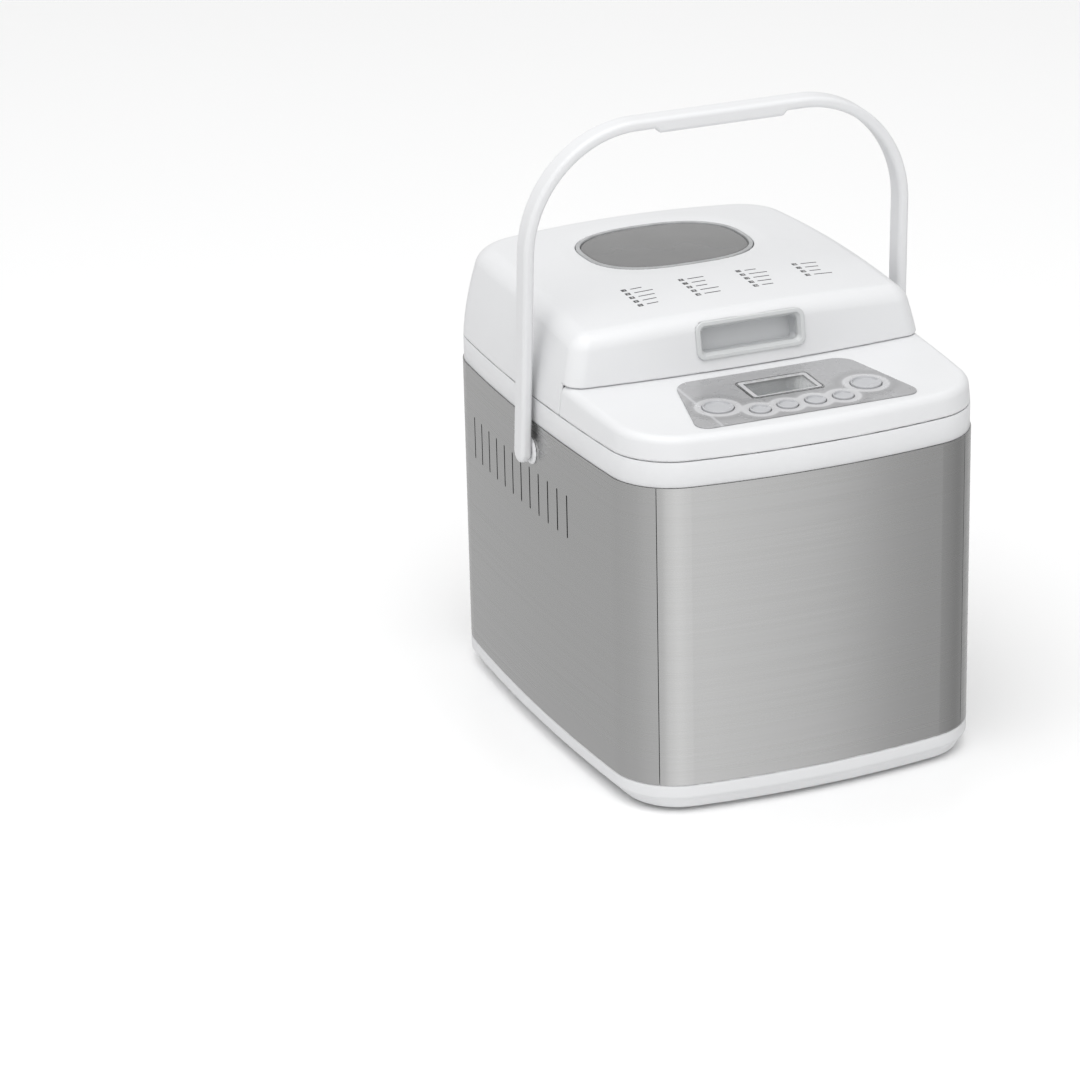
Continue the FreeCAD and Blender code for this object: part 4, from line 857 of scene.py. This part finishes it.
def handle_form(x, y, z):
    """Arched strap with soft edges, round ends and a thicker grip under its middle."""
    c, s = math.cos(HANDLE_LEAN), math.sin(HANDLE_LEAN)
    across = (y - PIVOT_Y) * c + (z - PIVOT_Z) * s
    up = (z - PIVOT_Z) * c - (y - PIVOT_Y) * s
    bulge = GRIP_BULGE * smooth_step((GRIP_HALF - np.abs(x)) / GRIP_RAMP)
    thickness = np.maximum(arch(x, up, 0.0), -arch(x, up, STRAP_THICK, bulge))
    width = np.where(up < 0, np.hypot(across, up), np.abs(across)) - STRAP_WIDE / 2
    strap = rounded_max(thickness, width, STRAP_EDGE)
    bore = np.maximum(np.hypot(across, up) - PIVOT_BORE, np.abs(x) - HANDLE_FOOT_X + PIVOT_BORE_END)
    return np.maximum(strap, -bore)


def boss_form(x, y, z):
    """Round boss between the skin and the handle's leg, one on each side."""
    reach = np.hypot(y - PIVOT_Y, z - PIVOT_Z)
    face = np.abs(x) - (HANDLE_FOOT_X - STRAP_THICK - BOSS_GAP)
    boss = rounded_max(reach - BOSS_RADIUS, face, BOSS_EDGE)
    return shared(boss, -plan(x, y), BOSS_BORE - reach)


FRAME_CORNER, FRAME_EDGE = 6, 0.9
FRAME_PROUD, FRAME_SUNK = 1.2, 0.9
THROAT_MARGIN, THROAT_CORNER, THROAT_DEPTH = 1.7, 4.3, 5
FRAME_WIDE, FRAME_SLOPE = 4.6, 1.5


def grip_frame_form(x, y, z):
    """Frame round the finger recess: a round bead outside and a sloping throat inside."""
    across, up, inwards = grip_frame_place(x, y, z)
    bead = rounded_rectangle(across, up, GRIP_HALF_X, GRIP_HALF_UP, FRAME_CORNER)
    bead = rounded_max(bead, np.maximum(-FRAME_PROUD - inwards, inwards - FRAME_SUNK), FRAME_EDGE)
    half_x, half_up = GRIP_HALF_X - THROAT_MARGIN, GRIP_HALF_UP - THROAT_MARGIN
    throat = rounded_rectangle(across, up, half_x, half_up, THROAT_CORNER)
    throat = shared(throat, -0.5 - inwards, inwards - THROAT_DEPTH)
    slope = FRAME_SLOPE * smooth_step((2.0 - inwards) / 3.2)
    half_x, half_up = GRIP_HALF_X - FRAME_WIDE + slope, GRIP_HALF_UP - FRAME_WIDE + slope
    hole = rounded_rectangle(across, up, half_x, half_up, 3.4)
    return rounded_max(np.minimum(bead, throat), -hole, 0.5)


PANE_DROP = 0.35
PANE_THICK = 3.2
PANE_BEVEL = 1.9
PANE_BEVEL_SLOPE = 2.2
SEAL_WIDE = 3.0
SEAL_PROUD = 0.35
SEAL_FOOT = 287.0


def lid_top_here(x, y):
    """Height of the lid's top round the window, where the moulding is dished."""
    return dome_height(x, y) - DISH_DEPTH


def pane_form(x, y, z):
    """Smoked pane that follows the lid's arch, ground off at a slope round its edge."""
    outside = window(x, y)
    top = z - lid_top_here(x, y) + PANE_DROP
    ground = (outside + PANE_BEVEL + PANE_BEVEL_SLOPE * top) / math.hypot(1, PANE_BEVEL_SLOPE)
    pane = shared(outside, top, -top - PANE_THICK)
    return rounded_max(pane, ground, 0.25)


def seal_form(x, y, z):
    """Seal between the pane and the lid: a low round bead on a deep frame."""
    outside = window(x, y)
    top = z - lid_top_here(x, y)
    bead = rounded_max(outside - SEAL_WIDE, -outside, 0.9)
    bead = rounded_max(bead, np.maximum(top - SEAL_PROUD, -top - 2.6), 0.8)
    under = top + PANE_DROP + PANE_THICK + 0.1
    frame = shared(outside - SEAL_WIDE, -outside - SEAL_WIDE, under, SEAL_FOOT - z)
    outer = shared(outside - SEAL_WIDE, 1.2 - outside, top + 2, SEAL_FOOT - z)
    return joined(bead, frame, outer)


HINGE_Y, HINGE_Z = 165.3, 216.0
BARREL_RADIUS = 2.8
HINGE_PIN_RADIUS = 1.2
KNUCKLE_FROM, KNUCKLE_TO = 62.3, 79.7
ARM_BACK, ARM_RISE = 1.2, 8
ARM_ROOT_DEPTH = 6.3
PIN_GAP = 0.05


def arms_form(x, y, z):
    """The lid's two hinge arms: barrels outside the rear wall, on arms down from the skirt."""
    reach = np.hypot(y - HINGE_Y, z - HINGE_Z)
    front = HINGE_Y - BARREL_RADIUS - y
    top = z - SEAM - ARM_RISE
    arm = rounded_max(np.maximum(front, y - HINGE_Y - ARM_BACK), np.maximum(HINGE_Z - z, top), 0.6)
    root = shared(HINGE_Y - ARM_ROOT_DEPTH - y, y - HINGE_Y, SEAM + 0.8 - z, top)
    profile = joined(reach - BARREL_RADIUS, arm, root)
    ends = np.maximum(KNUCKLE_FROM - np.abs(x), np.abs(x) - KNUCKLE_TO)
    solid = rounded_max(profile, ends, 0.5)
    return np.maximum(solid, HINGE_PIN_RADIUS + PIN_GAP - reach)


# ---------------------------------------------------------------- meshes

def surface_net(field, low, high, step):
    """Points and four-sided faces of a field's surface: one point in each cell that it crosses."""
    low = np.array(low, float)
    axes = [np.arange(a, b + step, step) for a, b in zip(low, high)]
    value = field(*np.meshgrid(*axes, indexing="ij"))
    inside = value < 0
    cells = [n - 1 for n in value.shape]
    total = np.zeros(cells + [3])
    count = np.zeros(cells)
    crossings = []
    for axis in range(3):
        first = [slice(None)] * 3
        second = [slice(None)] * 3
        first[axis] = slice(None, -1)
        second[axis] = slice(1, None)
        a, b = value[tuple(first)], value[tuple(second)]
        cross = inside[tuple(first)] != inside[tuple(second)]
        share = np.where(cross, a / np.where(cross, a - b, 1), 0)
        crossings.append((cross, inside[tuple(first)]))
        one, two = (axis + 1) % 3, (axis + 2) % 3
        for i in (0, 1):
            for j in (0, 1):
                part = [slice(None)] * 3
                part[one] = slice(i, i + cells[one])
                part[two] = slice(j, j + cells[two])
                hit = cross[tuple(part)]
                total[..., axis] += share[tuple(part)]
                total[..., one] += hit * i
                total[..., two] += hit * j
                count += hit
    active = count > 0
    number = np.full(cells, -1)
    number[active] = np.arange(active.sum())
    points = low + (np.argwhere(active) + total[active] / count[active][:, None]) * step
    faces = []
    for axis, (cross, starts_inside) in enumerate(crossings):
        one, two = (axis + 1) % 3, (axis + 2) % 3
        place = np.argwhere(cross)
        keep = (place[:, one] > 0) & (place[:, two] > 0)
        keep &= (place[:, one] < cells[one]) & (place[:, two] < cells[two])
        place = place[keep]
        corners = []
        for i, j in ((1, 1), (0, 1), (0, 0), (1, 0)):
            cell = place.copy()
            cell[:, one] -= i
            cell[:, two] -= j
            corners.append(number[cell[:, 0], cell[:, 1], cell[:, 2]])
        quads = np.stack(corners, 1)
        outward = starts_inside[tuple(place.T)]
        faces.append(np.where(outward[:, None], quads, quads[:, ::-1]))
    return points, np.concatenate(faces)


def slope_of(field, points, reach=0.05):
    """The field's gradient at the points."""
    columns = []
    for step in np.eye(3) * reach:
        ahead = field(*(points + step).T)
        behind = field(*(points - step).T)
        columns.append((ahead - behind) / (2 * reach))
    return np.stack(columns, 1)


def new_object(name, points, faces, material):
    """A mesh object from points in millimetres."""
    mesh = bpy.data.meshes.new(name)
    mesh.vertices.add(len(points))
    mesh.vertices.foreach_set("co", (np.asarray(points) * MM).astype(np.float32).ravel())
    sides = faces.shape[1]
    mesh.loops.add(faces.size)
    mesh.loops.foreach_set("vertex_index", faces.astype(np.int32).ravel())
    mesh.polygons.add(len(faces))
    mesh.polygons.foreach_set("loop_start", np.arange(0, faces.size, sides, dtype=np.int32))
    mesh.polygons.foreach_set("use_smooth", np.ones(len(faces), bool))
    mesh.materials.append(material)
    mesh.update(calc_edges=True)
    mesh.validate()
    made = bpy.data.objects.new(name, mesh)
    bpy.context.scene.collection.objects.link(made)
    return made


SETTLE_ROUNDS = 4
SETTLE_LIMIT = 0.5
LEAST_SLOPE = 0.2


def formed(name, field, low, high, step, material):
    """A closed mesh of a field between two corners, settled onto the field's surface."""
    points, faces = surface_net(field, np.array(low) - 1.5 * step, np.array(high) + 1.5 * step, step)
    for _ in range(SETTLE_ROUNDS):
        slope = slope_of(field, points)
        length = np.maximum((slope ** 2).sum(1), LEAST_SLOPE)
        move = field(*points.T)[:, None] * slope / length[:, None]
        size = np.linalg.norm(move, axis=1)
        move *= np.minimum(1, SETTLE_LIMIT * step / np.maximum(size, 1e-9))[:, None]
        points = points - move
    made = new_object(name, points, faces, material)
    normals = slope_of(field, points)
    normals /= np.maximum(np.linalg.norm(normals, axis=1), 1e-9)[:, None]
    made.data.normals_split_custom_set_from_vertices(normals.tolist())
    return made


def on_lid(u, v, height):
    """A place on the lid's top, at (across, front to back) and a height above it."""
    return u, v, dome_height(u, v) + height


def on_deck(u, v, height):
    """A place on the deck, at (across, along the slope) from its rear edge and a height above it."""
    c, s = math.cos(DECK_TILT), math.sin(DECK_TILT)
    return u, DECK_BACK_Y + v * c - height * s, DECK_BACK_Z + v * s + height * c


def printed(name, patches, place, top, material, body):
    """Thin flat prints: each patch is a four-sided outline on a surface, with a little thickness."""
    points, faces = [], []
    for patch in patches:
        start = len(points)
        points += [place(u, v, top - PRINT_THICK) for u, v in patch]
        points += [place(u, v, top) for u, v in patch]
        faces.append((start + 3, start + 2, start + 1, start))
        faces.append((start + 4, start + 5, start + 6, start + 7))
        for i in range(4):
            j = (i + 1) % 4
            faces.append((start + i, start + j, start + 4 + j, start + 4 + i))
    made = new_object(name, points, np.array(faces), materials[material])
    made.data.polygons.foreach_set("use_smooth", np.zeros(len(faces), bool))
    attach(made, body)
    return made


def bar(u0, u1, v0, v1):
    return [(u0, v0), (u1, v0), (u1, v1), (u0, v1)]


PRINT_THICK = 0.15
PROGRAM_COLUMNS = (-61.5, -20.6, 20.6, 61.5)
PROGRAM_ROWS = (5, 5, 5, 4)
PROGRAM_PITCH = 6.6
PROGRAM_REAR = -1.8
SQUARE = 1.75
DASH_FROM, DASH_HALF = 4.6, 0.55
DASH_SHORT, DASH_GROWTH = 8.0, 1.7
FIGURE_PITCH = 1.35
DIGIT_TALL, DIGIT_WIDE, STROKE = 1.7, 0.85, 0.22
# The lit bars of each digit: top, upper left, upper right, middle, lower left, lower right, bottom.
DIGITS = ("1110111", "0010010", "1011101", "1011011", "0111010",
          "1101011", "1101111", "1010010", "1111111", "1111011")


def digit_bars(figure, u, v):
    """The strokes of one figure whose middle is at (u, v)."""
    w, t, h = DIGIT_WIDE / 2, STROKE / 2, DIGIT_TALL / 2
    strokes = [
        bar(u - w, u + w, v + h - t, v + h + t), bar(u - w - t, u - w + t, v, v + h),
        bar(u + w - t, u + w + t, v, v + h), bar(u - w, u + w, v - t, v + t),
        bar(u - w - t, u - w + t, v - h, v), bar(u + w - t, u + w + t, v - h, v),
        bar(u - w, u + w, v - h - t, v - h + t),
    ]
    return [stroke for stroke, lit in zip(strokes, DIGITS[figure]) if lit == "1"]


def make_program_list():
    """Numbered squares in four columns on the lid, each with a plain dash beside it."""
    dark, pale = [], []
    number = 0
    for column, (u, rows) in enumerate(zip(PROGRAM_COLUMNS, PROGRAM_ROWS)):
        for row in range(rows):
            number += 1
            v = PROGRAM_REAR - PROGRAM_PITCH * row
            dark.append(bar(u - SQUARE, u + SQUARE, v - SQUARE, v + SQUARE))
            length = DASH_SHORT + DASH_GROWTH * ((3 * row + 2 * column) % 4)
            dark.append(bar(u + DASH_FROM, u + DASH_FROM + length, v - DASH_HALF, v + DASH_HALF))
            figures = [int(figure) for figure in str(number)]
            for place, figure in enumerate(figures):
                shift = (place - (len(figures) - 1) / 2) * FIGURE_PITCH
                pale += digit_bars(figure, u + shift, v)
    printed("program_squares", dark, on_lid, 0.03, "dark_ink", "lid")
    printed("program_figures", pale, on_lid, 0.05, "pale_ink", "lid")


LENS_TOP = 1.2
CELL_HALF_X, CELL_REAR, CELL_FRONT = 21.3, -35.7, -57.3
OUTLINE_WIDE = 0.45
OUTLINE_INSET = 0.9
OUTLINE_CORNER = 2.6
CELL_CORNER = 0.3
TICK_GROUPS, TICKS_IN_GROUP = 5, 4
TICK_START, TICK_GROUP_PITCH, TICK_PITCH = -19.0, 8.2, 1.5
TICK_LENGTH, TICK_HALF = 0.9, 0.3
CORNER_STEPS = 6


def rounded_path(half_x, front, rear, radius):
    """The outline of a rectangle with round corners, as points in order."""
    points = []
    middles = [(half_x - radius, rear - radius), (radius - half_x, rear - radius),
               (radius - half_x, front + radius), (half_x - radius, front + radius)]
    for quarter, (u, v) in enumerate(middles):
        for step in range(CORNER_STEPS + 1):
            turn = math.radians(90) * (quarter + step / CORNER_STEPS)
            points.append((u + radius * math.cos(turn), v + radius * math.sin(turn)))
    return points


def band_between(outer, inner):
    """Four-sided patches that fill the band between two outlines."""
    patches = []
    for i in range(len(outer)):
        j = (i + 1) % len(outer)
        patches.append([outer[i], outer[j], inner[j], inner[i]])
    return patches


def make_display_prints():
    """Printing on the display lens: a dark outline, a silver surround and a row of small ticks."""
    half = DISPLAY_HALF_X - OUTLINE_INSET
    front = DISPLAY_Y - DISPLAY_HALF_Y + OUTLINE_INSET
    rear = DISPLAY_Y + DISPLAY_HALF_Y - OUTLINE_INSET
    outer = rounded_path(half, front, rear, OUTLINE_CORNER)
    inner = rounded_path(half - OUTLINE_WIDE, front + OUTLINE_WIDE, rear - OUTLINE_WIDE,
                         OUTLINE_CORNER - OUTLINE_WIDE)
    cell = rounded_path(CELL_HALF_X, CELL_FRONT, CELL_REAR, CELL_CORNER)
    ticks = []
    tick_v = (rear + CELL_REAR) / 2
    for group in range(TICK_GROUPS):
        for tick in range(TICKS_IN_GROUP):
            start = TICK_START + TICK_GROUP_PITCH * group + TICK_PITCH * tick
            ticks.append(bar(start, start + TICK_LENGTH, tick_v - TICK_HALF, tick_v + TICK_HALF))
    surround = band_between(inner, cell)
    marks = band_between(outer, inner) + ticks
    printed("display_surround", surround, on_deck, LENS_TOP + 0.03, "silver_ink", "casing")
    printed("display_outline", marks, on_deck, LENS_TOP + 0.05, "dark_ink", "casing")


def stand_in(name, field, node, step, body, slot):
    """A formed piece that takes a CAD node's place and rides on its body."""
    low, high = box_mm(node)
    made = formed(name, field, low, high, step, materials[slot])
    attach(made, body)
    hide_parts(node)
    return made


# CAD nodes whose sharp edges are rounded, and by how many millimetres.
EDGE_SOFTENED = {
    "upper_rim": 0.5, "lid_inner_shell": 0.3, "chamber_liner": 0.3, "lid_grip_cup": 0.4,
    "display_window": 0.3, "cord_gland": 0.5, "rubber_feet": 0.5, "pan_base_ring": 0.4,
    "kneading_paddle": 0.6, "wing_coupling": 0.4, "pan_socket": 0.4, "drive_coupling": 0.4,
    "motor_bracket": 0.3, "chassis_plate": 0.2, "power_board": 0.2, "bearing_housing": 0.4,
    "large_pulley": 0.4, "motor_pulley": 0.3, "motor_housing": 0.6, "hinge_pins": 0.2,
}


# The formed pieces: name, field, the CAD node that each replaces, grid step, body and slot.
STAND_INS = [
    ("lid_shell", lid_shell, "lid_outer_shell", 1.3, "lid", "white_plastic"),
    ("deck_shell", deck_form, "deck_housing", 1.3, "casing", "white_plastic"),
    ("base_moulding", base_form, "base_tray", 1.3, "casing", "white_plastic"),
    ("handle_strap", handle_form, "carry_handle", 1.0, "handle", "white_plastic"),
    ("handle_bosses", boss_form, "pivot_bosses", 0.6, "casing", "white_plastic"),
    ("window_pane", pane_form, "lid_window", 0.7, "lid", "smoked_glass"),
    ("window_bead", seal_form, "window_seal", 0.7, "lid", "seal_grey"),
    ("grip_frame", grip_frame_form, "lid_grip_frame", 0.5, "lid", "pale_grey"),
    ("control_film", overlay_form, "control_overlay", 0.6, "casing", "silver_film"),
]
KEY_STEP = 0.45


def soften_edges(node, width):
    """Round a CAD node's sharp edges a little, as a mould, a die or a deburring wheel leaves them."""
    weld = nodes[node].modifiers.new("weld", "WELD")
    weld.merge_threshold = 0.000002
    bevel = nodes[node].modifiers.new("soft_edges", "BEVEL")
    bevel.width = width * MM
    bevel.segments = 2
    bevel.limit_method = "ANGLE"
    bevel.angle_limit = math.radians(40)
    bevel.harden_normals = True


# ---------------------------------------------------------------- assembly

make_camera()
make_surroundings()
materials = make_materials()

for node, node_object in nodes.items():
    node_object.data.materials[0] = materials[slot_of[node]]

for node, width in EDGE_SOFTENED.items():
    soften_edges(node, width)

for row in STAND_INS:
    stand_in(*row)
arms = formed("lid_arms", arms_form, (-80, 158, 212), (80, 167, 248), 0.7, materials["white_plastic"])
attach(arms, "lid")
make_program_list()
make_display_prints()
for node, place in BUTTONS.items():
    stand_in(node.replace("button", "key"), button_form(*place), node, KEY_STEP, node, "button_grey")

floor_mesh = bpy.data.meshes.new("floor")
corners = [(-FLOOR_HALF, -FLOOR_HALF, 0), (FLOOR_HALF, -FLOOR_HALF, 0),
           (FLOOR_HALF, FLOOR_HALF, 0), (-FLOOR_HALF, FLOOR_HALF, 0)]
floor_mesh.from_pydata(corners, [], [(0, 1, 2, 3)])
floor = bpy.data.objects.new("floor", floor_mesh)
bpy.context.scene.collection.objects.link(floor)
floor_mesh.materials.append(floor_material())
floor.visible_glossy = False

area_light("top_softbox", (-0.5, -0.5, 2.3), (0, 0, 0.15), 2.4, 2.4, 22.0)
bpy.context.scene.view_settings.view_transform = "Standard"
